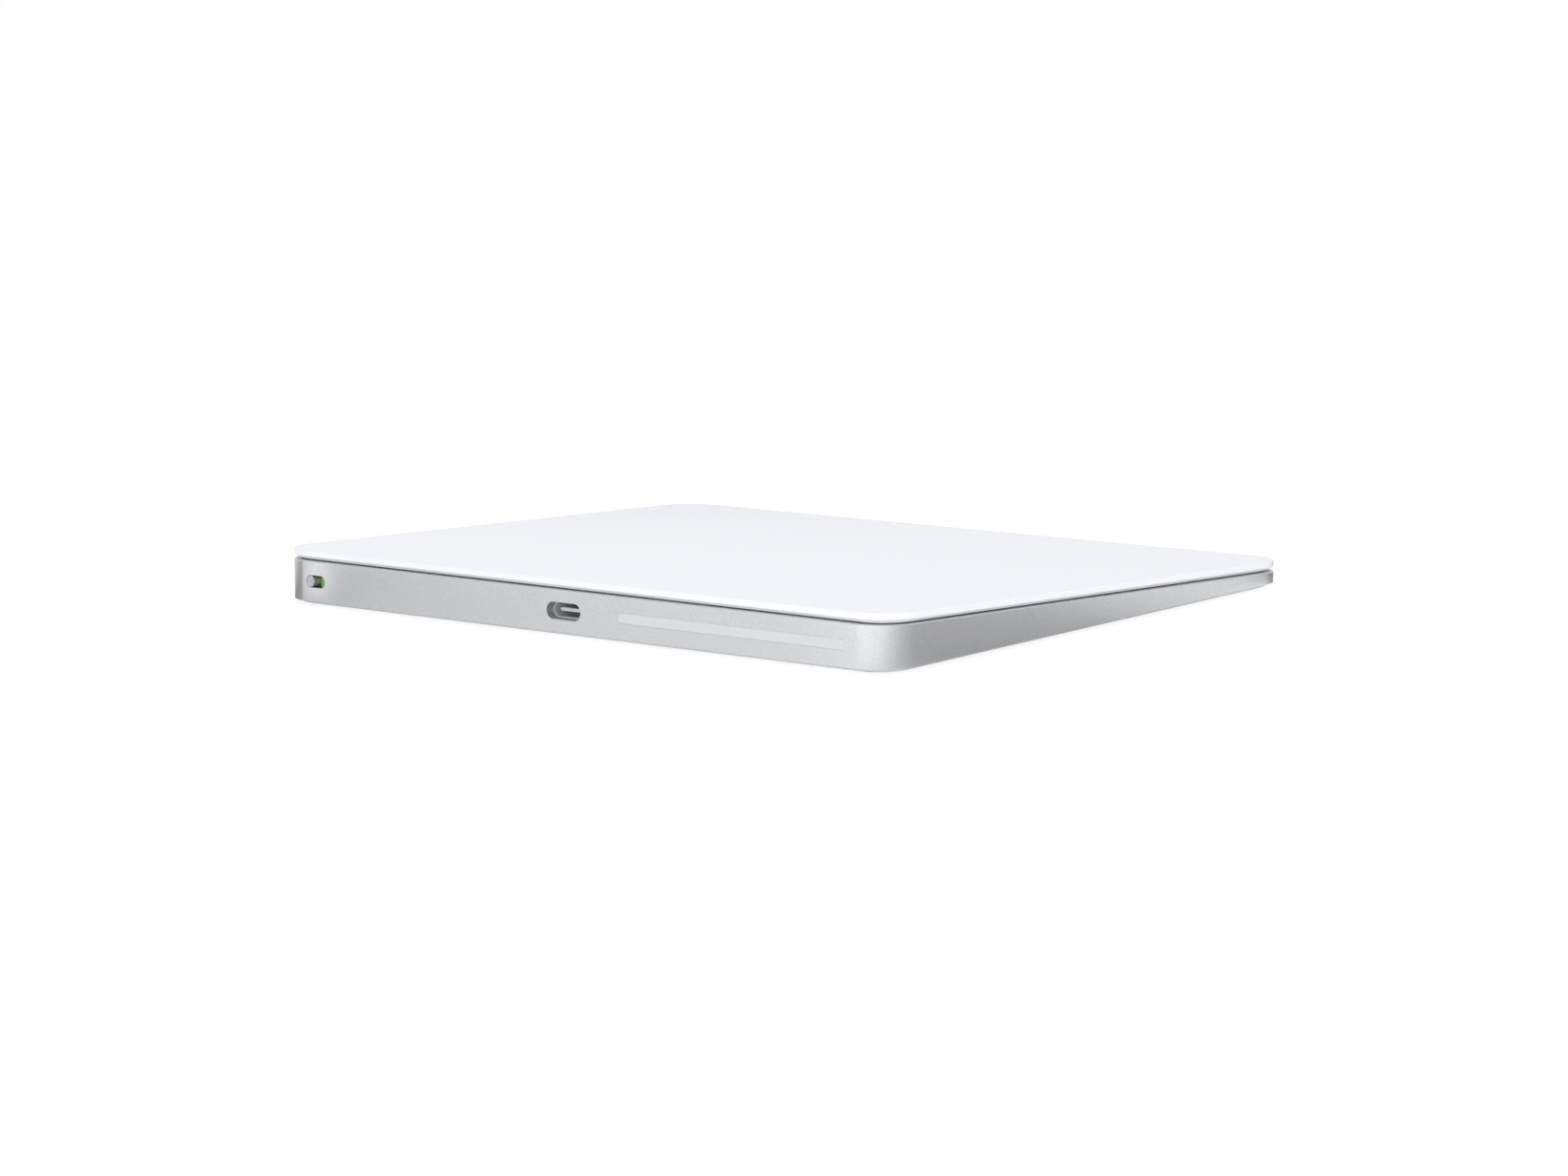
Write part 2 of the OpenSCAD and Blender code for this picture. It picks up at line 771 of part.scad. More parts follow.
// Logic board along the inside of the rear wall
module logic_board() {
    holes = concat(board_screws_at(), clamp_screws_at(), housing_screw_at());
    color("#2f5a3c")
        along_w(board_bot_w, board_top_w)
            difference() {
                translate([(board_x0 + board_x1) / 2, (board_v0 + board_v1) / 2])
                    round_rect(board_x1 - board_x0, board_d, 0.8);
                for (p = holes)
                    translate(p)
                        circle(d = shank_d + 2 * fit_gap);
            }
}

// Drawn shield over the radio and the processor, with a row of vents
module shield_can() {
    v0 = board_v0 + 0.7;
    v1 = board_v1 - 0.7;
    bend_r = 0.6;
    vents = 6;
    can_len = can_x1 - can_x0;
    color("#b4b6b9")
        difference() {
            along_w(board_top_w, board_top_w + can_h)
                translate([(can_x0 + can_x1) / 2, (v0 + v1) / 2])
                    round_rect(can_len, v1 - v0, bend_r);
            along_w(board_top_w - 1, board_top_w + can_h - can_t)
                translate([(can_x0 + can_x1) / 2, (v0 + v1) / 2])
                    round_rect(can_len - 2 * can_t, v1 - v0 - 2 * can_t, bend_r - can_t);
            for (k = [0 : vents - 1])
                along_w(board_top_w, board_top_w + can_h + 1)
                    translate([can_x0 + can_len * (k + 0.5) / vents, (v0 + v1) / 2])
                        circle(d = 1);
        }
}

// Chips on the logic board: two under the shield, one by the port
module board_chips() {
    chip_d = board_d - 2 * chip_gap;
    color("#1d1e20")
        along_w(board_top_w, board_top_w + chip_h) {
            for (k = [0.25, 0.75])
                translate([can_x0 + (can_x1 - can_x0) * k - chip_w / 2, board_v0 + chip_gap])
                    square([chip_w, chip_d]);
            translate([port_x - socket_w / 4, board_v0 + 0.5])
                square([socket_w / 2, 1.6]);
        }
}

// Connectors on the logic board for the battery and the touch pad
module board_connectors() {
    color("#e8e2d2")
        along_w(board_top_w + ribbon_t, board_top_w + plug_h)
            translate([battery_plug_x, battery_plug_v])
                square([plug_w, plug_d], center = true);
    color("#e8e2d2")
        along_w(board_top_w, board_top_w + plug_h)
            translate([pad_plug_x, pad_plug_v])
                square([pad_plug_w, plug_d], center = true);
}

// Screws of the logic board
module board_screws() {
    color("#8d9093")
        screws(board_screws_at(), board_top_w, board_t + board_bite - fit_gap);
}

// Lithium pouch in the bay of the tray floor
module battery_cell() {
    color("#3a3c40")
        translate([0, (cell_y0 + cell_y1) / 2, cell_z0])
            rimmed_plate(cell_w, cell_d, 1.5, cell_t)
                rounded_rim(1.5, cell_t, 0.5, 0.3);
}

// Protection board along the rear of the cell
module battery_board() {
    parts_n = 5;
    pitch = guard_len / (2 * parts_n);
    color("#2f5a3c")
        difference() {
            union() {
                translate([guard_x0, guard_y0, cell_z0])
                    cube([guard_len, guard_d, guard_t]);
                for (k = [1 : parts_n])
                    translate([guard_x0 + pitch * k, guard_y0 + 0.8, cell_z0])
                        cube([pitch / 2, guard_d - 1.6, guard_t + 0.8]);
            }
            for (x = [guard_x0 + 1.6, ribbon_x - ribbon_w / 2 - 1.6])
                translate([x, guard_y0 + guard_d / 2, cell_z0 - 1])
                    cylinder(d = 1.2, h = guard_t + 2);
        }
}

// Adhesive strips that hold the cell and its board on the cover
module battery_adhesive() {
    color("#55585c")
        translate([0, 0, cover_top_z])
            linear_extrude(cell_z0 - cover_top_z) {
                for (k = [0.25, 0.75])
                    translate([0, cell_y0 + cell_d * k])
                        square([cell_w * 0.94, cell_d / 4], center = true);
                translate([(guard_x0 + guard_x1) / 2, guard_y0 + guard_d / 2])
                    square([guard_len * 0.92, guard_d - 1], center = true);
            }
}

// Straight leg of the battery's ribbon along a path of points y, z
module ribbon_leg(x, path) {
    lift = fit_gap / 4;
    low = [for (p = path) p + [0, lift]];
    high = [for (k = [len(path) - 1 : -1 : 0]) path[k] + [0, ribbon_t - lift]];
    translate([x - ribbon_w / 2, 0, 0])
        rotate([90, 0, 90])
            linear_extrude(ribbon_w)
                polygon(concat(low, high));
}

// Flat ribbon from the protection board over the tray floor to its connector
module battery_flex() {
    lift = fit_gap / 4;
    half = ribbon_w / 2;
    edge_y = y_at(board_v0, board_top_w);
    plug_v = battery_plug_v + plug_d / 2;
    guard_z = cell_z0 + guard_t;
    floor_z = max(floor_top_z, guard_z);
    y0 = guard_y1 + drop_gap;
    y1 = edge_y - 1.8;
    color("#b06a2c") {
        ribbon_leg(ribbon_x, [
            [guard_y0 + 0.6, guard_z],
            [guard_y1 - 0.3, guard_z],
            [y0, floor_z],
            [y0 + 0.5, floor_z]
        ]);
        translate([0, 0, floor_z + lift])
            linear_extrude(ribbon_t - 2 * lift)
                polygon([
                    [ribbon_x - half, y0 + 0.2],
                    [ribbon_x + half, y0 + 0.2],
                    [battery_plug_x + half, y1 - 0.2],
                    [battery_plug_x - half, y1 - 0.2]
                ]);
        ribbon_leg(battery_plug_x, [
            [y1 - 0.5, floor_z],
            [y1, floor_z],
            [edge_y - 0.3, z_at(board_v0, board_top_w)],
            [y_at(plug_v, board_top_w), z_at(plug_v, board_top_w)]
        ]);
    }
}

// Necked spring plate that carries one corner of the pad
module flexure(c) {
    color("#a9acaf")
        along_w(flexure_bot_w, gel_bot_w)
            difference() {
                union() {
                    translate([c[0] * flexure_x, c[1] * root_v])
                        round_rect(flexure_w, root_len, 1);
                    translate([c[0] * flexure_x, c[1] * (root_v + tip_v) / 2])
                        square([neck_w, tip_v - root_v], center = true);
                    translate([c[0] * flexure_x, c[1] * tip_v])
                        round_rect(flexure_w, tip_len, 1);
                }
                for (s = [-1, 1])
                    translate([c[0] * flexure_x + s * root_screw_x, c[1] * root_v])
                        circle(d = shank_d + 2 * fit_gap);
            }
}

// Strain gauges on the necks of the four flexures
module strain_gauges() {
    neck_v = flexure_v - tip_len - neck_len / 2;
    color("#caa45a")
        along_w(gel_bot_w, gel_bot_w + gauge_t)
            for (c = CORNERS)
                translate([c[0] * flexure_x, c[1] * neck_v])
                    square([neck_w - 1.4, neck_len - 2], center = true);
}

// Screws of the four flexures
module flexure_screws() {
    color("#8d9093")
        screws(root_screws(), gel_bot_w, flexure_t + bite);
}

// Strip of the haptic drive as long as its core, between two slope positions
module core_area(v0, v1) {
    area(drive_x - core_len / 2, drive_x + core_len / 2, v0, v1);
}

// Middle of a core tooth along the drive
function tooth_x(k) = drive_x + (k - (tooth_n - 1) / 2) * tooth_pitch;

// Sheet base of the haptic drive, with a raised rail under the core's yoke
module actuator_base() {
    color("#9c9fa2")
        difference() {
            union() {
                along_w(drive_seat_w, base_top_w)
                    translate([drive_x, (drive_v0 + drive_v1) / 2])
                        round_rect(drive_len, drive_d, 1);
                along_w(drive_seat_w, core_bot_w)
                    core_area(core_v0, tooth_v0);
            }
            along_w(drive_seat_w - 1, base_top_w + 1)
                core_area(tooth_v0 + 0.5, tooth_v1);
            for (p = drive_screws())
                slope()
                    translate([p[0], p[1], drive_seat_w - 1])
                        cylinder(d = shank_d + 2 * fit_gap, h = base_t + 2);
        }
}

// Comb-shaped iron core
module actuator_core() {
    color("#6f7276")
        along_w(core_bot_w, core_top_w) {
            core_area(core_v0, tooth_v0);
            for (k = [0 : tooth_n - 1])
                translate([tooth_x(k), tooth_v0 + tooth_len / 2])
                    square([tooth_w, tooth_len], center = true);
        }
}

// Windings round the teeth of the core
module actuator_coils() {
    gap = fit_gap;
    coil_len = tooth_len - 1.2;
    mid_w = (core_bot_w + core_top_w) / 2;
    side_t = 2 * coil_t;
    color("#b5713a")
        for (k = [0 : tooth_n - 1])
            along_v(tooth_v0 + 0.6, tooth_v0 + 0.6 + coil_len, tooth_x(k), mid_w)
                difference() {
                    round_rect(tooth_w + 2 * gap + 2 * side_t, core_t + 2 * gap + 2 * coil_t, coil_t);
                    square([tooth_w + 2 * gap, core_t + 2 * gap], center = true);
                }
}

// Screws of the haptic drive
module actuator_screws() {
    color("#8d9093")
        screws(drive_screws(), base_top_w, base_t + bite - fit_gap);
}

// Guide of the sliding carriage, with lips over and under it and one screw ear
module switch_housing() {
    slot_w = lever_w + switch_travel + 2 * run_gap;
    lip_x1 = knob_x + knob_d / 2 + 0.85;
    top_w = wall_mid_w + carriage_h / 2 + run_gap;
    low_w = wall_mid_w - carriage_h / 2 - run_gap;
    color("#33363a")
        difference() {
            union() {
                along_w(board_top_w, top_w + lip_t)
                    area(housing_x0, housing_x1, housing_v0, board_v1);
                along_w(low_w - lip_t, top_w + lip_t)
                    area(housing_x0, lip_x1, board_v1 + run_gap / 2, carriage_v0 - run_gap);
                along_w(board_top_w, top_w + lip_t)
                    area(housing_x0, lip_x1, board_v1 - 0.2, carriage_v0 - run_gap);
                along_w(top_w, top_w + lip_t)
                    area(housing_x0, lip_x1, housing_v1 - 0.2, carriage_v1);
                along_w(low_w - lip_t, low_w)
                    area(housing_x0, lip_x1, board_v1 + run_gap / 2, carriage_v1);
                along_w(board_top_w, board_top_w + ear_t)
                    area(ear_x0, housing_x0 + 1, housing_v0, board_v1);
            }
            along_v(housing_v0 - 1, carriage_v1, knob_x - switch_travel / 2)
                square([slot_w, lever_h + 2 * run_gap], center = true);
            for (p = housing_screw_at())
                slope()
                    translate([p[0], p[1], board_bot_w])
                        cylinder(d = shank_d + 2 * fit_gap, h = board_t + 2);
        }
}

// Electrical slide switch on the board, worked by the lever in its groove
module slide_switch() {
    v1 = lever_v0 + groove_d - run_gap;
    groove_len = lever_w + switch_travel + 1;
    color("#bfc2c5")
        difference() {
            along_w(board_top_w, board_top_w + slider_h)
                area(knob_x - switch_travel - 3.6, knob_x + 2.8, v1 - slider_d, v1);
            along_v(lever_v0 - run_gap, v1 + 1, knob_x - switch_travel / 2)
                square([groove_len, lever_h + 4 * run_gap], center = true);
        }
}

// Screw of the switch housing
module switch_screw() {
    color("#8d9093")
        screws(housing_screw_at(), board_top_w + ear_t, ear_t + board_t + board_bite - fit_gap);
}

// Ribbon that hangs in a loop between the touch pad and the logic board
module pad_flex() {
    top_w = sensor_w - plug_h;
    low_w = board_top_w + plug_h;
    loop_r = (top_w - low_w) / 2;
    bend_v = pad_plug_v - plug_d;
    color("#b06a2c")
        slope()
            translate([pad_plug_x - pad_plug_w / 2 + 0.5, bend_v, (top_w + low_w) / 2])
                rotate([90, 0, 90])
                    linear_extrude(pad_plug_w - 1) {
                        difference() {
                            circle(loop_r);
                            circle(loop_r - ribbon_t);
                            area(0, loop_r + 1, -loop_r - 1, loop_r + 1);
                        }
                        area(0, plug_d * 1.4, loop_r - ribbon_t, loop_r);
                        area(0, plug_d * 1.4, -loop_r, -loop_r + ribbon_t);
                    }
}

// Turned knob of the power switch, with a stud into the carriage
module switch_knob() {
    color("#b9bbbe") {
        along_v(carriage_v1, half_v + knob_proud, knob_x)
            circle(d = knob_d);
        along_v(carriage_v0, carriage_v1, knob_x)
            circle(d = stud_d);
    }
}

// Sliding carriage behind the wall, with the lever to the slide switch
module switch_carriage() {
    x0 = knob_x - switch_travel - knob_d / 2 - 0.4;
    color("#4a4d51")
        difference() {
            union() {
                along_v(carriage_v0, carriage_v1)
                    area(x0, knob_x + knob_d / 2 + 0.6, -carriage_h / 2, carriage_h / 2);
                along_v(lever_v0, carriage_v0 + carriage_t / 4, knob_x)
                    square([lever_w, lever_h], center = true);
            }
            along_v(carriage_v0 - 1, carriage_v1 + 1, knob_x)
                circle(d = stud_d);
            along_v(carriage_v1 - indicator_t, carriage_v1 + 1)
                indicator_outline(0);
        }
}

// Outline of the coloured indicator, beside the knob
module indicator_outline(inset) {
    x0 = knob_x - switch_travel - knob_d / 2 - 0.2;
    high = carriage_h / 2 - 0.3;
    area(x0 + inset, knob_x - knob_d / 2 - inset, -high + inset, high - inset);
}

// Coloured patch that shows beside the knob when the switch is on
module switch_indicator() {
    color("#84b84f")
        along_v(carriage_v1 - indicator_t, carriage_v1)
            indicator_outline(0.02);
}

// Shear pad of soft gel between a flexure's free end and the stiffener
module gel_pad(c) {
    color("#c7b8d8")
        along_w(gel_bot_w, stiff_w)
            translate([c[0] * flexure_x, c[1] * tip_v])
                round_rect(gel_w, gel_d, 1);
}

// Touch surface: white-backed glass with rounded rims
module glass_plate() {
    color("#f4f5f8")
        slope()
            translate([0, 0, glass_w])
                rimmed_plate(pad_w, pad_d, corner_r, glass_t)
                    rounded_rim(corner_r, glass_t, glass_round, glass_round);
}

// Trim ring in the shadow gap under the rim of the glass
module pad_frame() {
    color("#b3b5b8")
        along_w(ring_bot_w, glass_w)
            difference() {
                pad_outline(ring_inset);
                pad_outline(ring_inset + ring_w);
            }
}

// Outline of the glass, drawn in by an inset
module pad_outline(inset) {
    round_rect(pad_w - 2 * inset, pad_d - 2 * inset, corner_r - inset);
}

// Touch sensor board bonded under the glass
module sensor_board() {
    color("#27583f")
        along_w(sensor_w, glass_w)
            pad_outline(sensor_inset);
}

// Where the touch controller sits, left of the connector
function controller_at() = [-pad_plug_x / 2, pad_plug_v - controller_w / 2];

// Stiffening plate under the sensor board, cut out for what hangs below it
module stiffener_plate() {
    color("#bfc2c5")
        along_w(stiff_w, sensor_w)
            difference() {
                pad_outline(sensor_inset);
                translate(controller_at())
                    round_rect(controller_w + 2, controller_w + 2, 1);
                translate([pad_plug_x, pad_plug_v - plug_d / 2])
                    round_rect(pad_plug_w + 3, 2.5 * plug_d, 1);
            }
}

// Chip that reads the touch sensor
module touch_controller() {
    color("#1d1e20")
        along_w(sensor_w - controller_t, sensor_w)
            translate(controller_at())
                square(controller_w, center = true);
}

// Connector of the sensor board for the looped ribbon
module sensor_connector() {
    color("#e8e2d2")
        along_w(sensor_w - plug_h, sensor_w)
            translate([pad_plug_x, pad_plug_v])
                square([pad_plug_w, plug_d], center = true);
}

// Iron bar under the stiffener that the haptic drive pulls on
module attraction_plate() {
    color("#7d8084")
        along_w(core_bot_w, stiff_w)
            translate([drive_x, armature_v0 + armature_d / 2])
                round_rect(core_len, armature_d, 0.5);
}

enclosure();
bottom_cover();
cover_adhesive();
foot(CORNERS[0]);  // foot_front_left
foot(CORNERS[1]);  // foot_front_right
foot(CORNERS[2]);  // foot_rear_left
foot(CORNERS[3]);  // foot_rear_right
antenna_window();
antenna_carrier();
antenna_element();
port_shell();
port_tongue();
port_contacts();
port_clamp();
port_screws();
logic_board();
shield_can();
board_chips();
board_connectors();
board_screws();
battery_cell();
battery_board();
battery_adhesive();
battery_flex();
flexure(CORNERS[0]);  // flexure_front_left
flexure(CORNERS[1]);  // flexure_front_right
flexure(CORNERS[2]);  // flexure_rear_left
flexure(CORNERS[3]);  // flexure_rear_right
strain_gauges();
flexure_screws();
actuator_base();
actuator_core();
actuator_coils();
actuator_screws();
switch_housing();
slide_switch();
switch_screw();
pad_flex();
switch_knob();
switch_carriage();
switch_indicator();
gel_pad(CORNERS[0]);  // gel_pad_front_left
gel_pad(CORNERS[1]);  // gel_pad_front_right
gel_pad(CORNERS[2]);  // gel_pad_rear_left
gel_pad(CORNERS[3]);  // gel_pad_rear_right
glass_plate();
pad_frame();
sensor_board();
stiffener_plate();
touch_controller();
sensor_connector();
attraction_plate();
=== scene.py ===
"""Looks of a wireless trackpad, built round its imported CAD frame.

Sizes are millimetres in the classes below and metres in Blender. The row frame
is the CAD's: +X is the user's right, +Y the thick rear edge, +Z up. The slope
frame is the same frame laid on the glass: x, then v up the slope, then w square
to the glass, with w = 0 on its upper face.
"""

from __future__ import annotations

import logging
import math
from collections.abc import Iterable, Sequence
from dataclasses import dataclass, field
from enum import Enum
from typing import Any

import bmesh
import bpy
from mathutils import Matrix, Vector

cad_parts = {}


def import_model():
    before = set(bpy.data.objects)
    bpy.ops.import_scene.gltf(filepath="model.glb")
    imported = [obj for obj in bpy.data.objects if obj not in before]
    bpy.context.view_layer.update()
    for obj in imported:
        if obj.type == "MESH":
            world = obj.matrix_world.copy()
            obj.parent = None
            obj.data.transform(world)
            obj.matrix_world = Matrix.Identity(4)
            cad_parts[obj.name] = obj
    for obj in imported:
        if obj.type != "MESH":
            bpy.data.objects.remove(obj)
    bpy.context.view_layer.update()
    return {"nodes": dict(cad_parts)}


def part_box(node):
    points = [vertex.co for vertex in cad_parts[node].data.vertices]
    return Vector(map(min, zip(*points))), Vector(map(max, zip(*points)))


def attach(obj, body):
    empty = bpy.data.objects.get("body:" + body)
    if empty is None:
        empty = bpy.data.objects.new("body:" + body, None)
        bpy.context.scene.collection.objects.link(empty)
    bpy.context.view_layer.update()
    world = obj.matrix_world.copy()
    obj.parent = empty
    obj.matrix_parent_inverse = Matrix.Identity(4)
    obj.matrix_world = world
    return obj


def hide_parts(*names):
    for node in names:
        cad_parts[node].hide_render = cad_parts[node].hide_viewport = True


LOG = logging.getLogger("trackpad")
MM = 0.001
PHOTO_WIDTH = 1643

Point2 = tuple[float, float]
Point3 = tuple[float, float, float]


class Body(Enum):
    """Bodies of the CAD frame that pieces ride on."""

    BASE = "base"
    SWITCH = "power_switch"
    SUSPENSION = "pad_suspension"
    PAD = "touch_pad"


class Slot(Enum):
    """Material slots of the record."""

    GLASS = "glass"
    TRIM_RING = "trim_ring"
    ALUMINIUM = "aluminium"
    STIFFENER = "stiffener"
    COVER = "cover"
    WINDOW = "window"
    FOOT = "foot"
    ADHESIVE = "adhesive"
    STEEL = "steel"
    SCREWS = "screws"
    IRON = "iron"
    COPPER = "copper"
    CONTACTS = "contacts"
    BOARD = "board"
    CHIP = "chip"
    CONNECTOR = "connector"
    RIBBON = "ribbon"
    CELL = "cell"
    DARK_PLASTIC = "dark_plastic"
    TONGUE = "tongue"
    KNOB = "knob"
    INDICATOR = "indicator"
    GEL = "gel"


class Axis(Enum):
    """Direction that a pattern runs along, as a stretch of its coordinates."""

    NONE = (1.0, 1.0, 1.0)
    X = (0.04, 1.0, 1.0)
    Y = (1.0, 0.04, 1.0)


def add_node(
    tree: bpy.types.NodeTree, kind: str, inputs: dict[Any, Any] | None = None, **settings: Any
) -> bpy.types.Node:
    """Adds a node with its settings and links.

    Args:
        tree: Node tree that takes the node.
        kind: Blender's type name of the node.
        inputs: For each input, by name or number: a value, an output socket to
            link from, or a list of such sockets.
        **settings: Properties of the node.

    Returns:
        The new node.
    """
    node = tree.nodes.new(kind)
    for key, value in settings.items():
        setattr(node, key, value)
    for key, value in (inputs or {}).items():
        links = value if isinstance(value, list) else [value]
        for item in links:
            if isinstance(item, bpy.types.NodeSocket):
                tree.links.new(item, node.inputs[key])
            else:
                node.inputs[key].default_value = item
    return node


def linear(colour: str) -> tuple[float, float, float, float]:
    """Turns an sRGB hex colour to linear RGBA.

    Args:
        colour: Six hex digits after a #.

    Returns:
        Linear red, green, blue, and an alpha of 1.
    """
    parts = [int(colour[k : k + 2], 16) / 255 for k in (1, 3, 5)]
    red, green, blue = (c / 12.92 if c <= 0.04045 else ((c + 0.055) / 1.055) ** 2.4 for c in parts)
    return red, green, blue, 1.0


def metres(*sizes: float) -> tuple[float, ...]:
    """Turns millimetres to metres."""
    return tuple(size * MM for size in sizes)


def blank_tree(holder: bpy.types.Material | bpy.types.World) -> bpy.types.NodeTree:
    """Gives a material or a world an empty node tree."""
    holder.use_nodes = True
    holder.node_tree.nodes.clear()
    return holder.node_tree


def put_in_scene(name: str, data: bpy.types.ID) -> bpy.types.Object:
    """Makes an object of a mesh, a lamp or a camera and links it to the scene."""
    made = bpy.data.objects.new(name, data)
    bpy.context.scene.collection.objects.link(made)
    return made


@dataclass(frozen=True)
class SlopeFrame:
    """The frame laid on the glass."""

    pad_d: float = 114.5
    rear_h: float = 10.9
    front_h: float = 4.9
    wall_z: float = 0.9

    @property
    def tilt(self) -> float:
        """Angle of the glass over the desk, in radians."""
        return math.asin((self.rear_h - self.front_h) / self.pad_d)

    @property
    def matrix(self) -> Matrix:
        """Turns slope-frame metres to row-frame metres."""
        shift_y = -(self.rear_h - self.wall_z) * math.tan(self.tilt) / 2
        mid_h = (self.rear_h + self.front_h) / 2
        move = Matrix.Translation((0.0, shift_y * MM, mid_h * MM))
        return move @ Matrix.Rotation(self.tilt, 4, "X")

    def across(self, x: float, v: float, w: float) -> Matrix:
        """Places a drawing in x and w that is extruded along v.

        Args:
            x: Place across the pad.
            v: Place up the slope of the drawing's zero.
            w: Height square to the glass.

        Returns:
            A matrix whose local x, y and z are the frame's x, w and -v.
        """
        move = Matrix.Translation((x * MM, v * MM, w * MM))
        return self.matrix @ move @ Matrix.Rotation(math.radians(90), 4, "X")


SLOPE = SlopeFrame()


@dataclass(frozen=True)
class Finish:
    """Surface of one real material: two close colours, its gloss and a fine relief."""

    name: str
    colour: str
    shade: str
    rough: tuple[float, float]
    grain: float
    relief: float = 0.0
    metallic: float = 0.0
    ior: float = 1.5
    run: Axis = Axis.NONE
    extras: tuple[tuple[str, float], ...] = ()

    def coordinates(self, tree: bpy.types.NodeTree) -> bpy.types.NodeSocket:
        """Object coordinates, stretched along the way that the pattern runs."""
        place = add_node(tree, "ShaderNodeTexCoord")
        turned = add_node(
            tree, "ShaderNodeMapping", {"Vector": place.outputs["Object"], "Scale": self.run.value}
        )
        return turned.outputs["Vector"]

    def pattern(self, tree: bpy.types.NodeTree) -> bpy.types.NodeSocket:
        """Draws the surface's pattern, as a value from 0 to 1.

        Args:
            tree: The material's node tree.

        Returns:
            The socket that carries the pattern.
        """
        noise = add_node(
            tree,
            "ShaderNodeTexNoise",
            {
                "Vector": self.coordinates(tree),
                "Scale": 1 / (self.grain * MM),
                "Detail": 3.0,
                "Roughness": 0.6,
            },
        )
        return noise.outputs["Fac"]

    def material(self) -> bpy.types.Material:
        """Builds the material on its first use.

        Returns:
            The material of this name.
        """
        made = bpy.data.materials.get(self.name)
        if made:
            return made
        made = bpy.data.materials.new(self.name)
        tree = blank_tree(made)
        value = self.pattern(tree)
        tint = add_node(
            tree,
            "ShaderNodeMix",
            {"Factor": value, "A": linear(self.shade), "B": linear(self.colour)},
            data_type="RGBA",
        )
        gloss = add_node(
            tree, "ShaderNodeMapRange", {"Value": value, "To Min": self.rough[1], "To Max": self.rough[0]}
        )
        skin = add_node(
            tree,
            "ShaderNodeBsdfPrincipled",
            {
                "Base Color": tint.outputs["Result"],
                "Roughness": gloss.outputs["Result"],
                "Metallic": self.metallic,
                "IOR": self.ior,
                **dict(self.extras),
            },
        )
        if self.relief:
            bump = add_node(
                tree, "ShaderNodeBump", {"Height": value, "Strength": 1.0, "Distance": self.relief * MM}
            )
            tree.links.new(bump.outputs["Normal"], skin.inputs["Normal"])
        self.trim(tree, skin)
        add_node(tree, "ShaderNodeOutputMaterial", {"Surface": skin.outputs["BSDF"]})
        made.diffuse_color = linear(self.colour)
        return made

    def trim(self, tree: bpy.types.NodeTree, skin: bpy.types.Node) -> None:
        """Adds what only some finishes have; the plain one adds nothing."""


@dataclass(frozen=True)
class TurnedFinish(Finish):
    """Faced on a lathe: glints fan out from the centre, across the tool's circles."""

    uv_map: str = "turning"

    def trim(self, tree: bpy.types.NodeTree, skin: bpy.types.Node) -> None:
        """Takes the tool's circles from the piece's UV map; the gloss spreads across them."""
        along = add_node(tree, "ShaderNodeTangent", direction_type="UV_MAP", uv_map=self.uv_map)
        tree.links.new(along.outputs["Tangent"], skin.inputs["Tangent"])


@dataclass(frozen=True)
class PaintedEdgeLightFinish(Finish):
    """Glass whose cut edge gets a painted highlight: a lighter colour where the piece marks the edge in an
    attribute.
    """

    # Colour of the painted highlight on the cut edge.
    edge_highlight_colour: str = "#FFFFFF"
    mark: str = "edge"

    def trim(self, tree: bpy.types.NodeTree, skin: bpy.types.Node) -> None:
        """Paints a highlight: lightens the colour where the piece's attribute marks the edge."""
        face = skin.inputs["Base Color"].links[0].from_socket
        mark = add_node(tree, "ShaderNodeAttribute", attribute_name=self.mark)
        both = add_node(
            tree,
            "ShaderNodeMix",
            {"Factor": mark.outputs["Fac"], "A": face, "B": linear(self.edge_highlight_colour)},
            data_type="RGBA",
        )
        tree.links.new(both.outputs["Result"], skin.inputs["Base Color"])


@dataclass(frozen=True)
class TracedFinish(Finish):
    """Printed wiring: straight lanes with gaps, under a thin lacquer."""

    lane: float = 0.5

    def pattern(self, tree: bpy.types.NodeTree) -> bpy.types.NodeSocket:
        """Rows of long tracks with gaps between them."""
        rows = add_node(
            tree,
            "ShaderNodeTexBrick",
            {
                "Vector": self.coordinates(tree),
                "Color1": (1.0, 1.0, 1.0, 1.0),
                "Color2": (0.6, 0.6, 0.6, 1.0),
                "Mortar": (0.0, 0.0, 0.0, 1.0),
                "Scale": 1 / (self.lane * MM),
                "Mortar Size": 0.12,
                "Brick Width": 9.0,
                "Row Height": 1.0,
            },
        )
        return rows.outputs["Color"]


@dataclass(frozen=True)
class BandedFinish(Finish):
    """Even bands, as in wound wire or a stack of sheets."""

    def pattern(self, tree: bpy.types.NodeTree) -> bpy.types.NodeSocket:
        """Bands square to the desk, one for each wire or sheet."""
        bands = add_node(
            tree,
            "ShaderNodeTexWave",
            {"Vector": self.coordinates(tree), "Scale": 0.314 / (self.grain * MM), "Distortion": 0.4},
            wave_type="BANDS",
            bands_direction="Z",
        )
        return bands.outputs["Fac"]


# Bead-blasted, anodised aluminium: pale silver that blurs what it mirrors, with a
# fine sparkle. The blast's own 0.1 mm dimples are drawn three times as coarse.
ALUMINIUM = Finish(
    "blasted_anodised_aluminium", "#DEDFE1", "#BBBCBE", (0.37, 0.43), 0.3, 0.0012, metallic=1.0
)
# Etched glass over a white print: even cool white, with a soft sheen near grazing. Its
# cut edge gets a painted highlight, a colour lighter than the face.
GLASS = PaintedEdgeLightFinish(
    "white_backed_etched_glass", "#DFE0E6", "#DDDEE4", (0.3, 0.34), 0.4, ior=1.5, edge_highlight_colour="#F0F1F5"
)
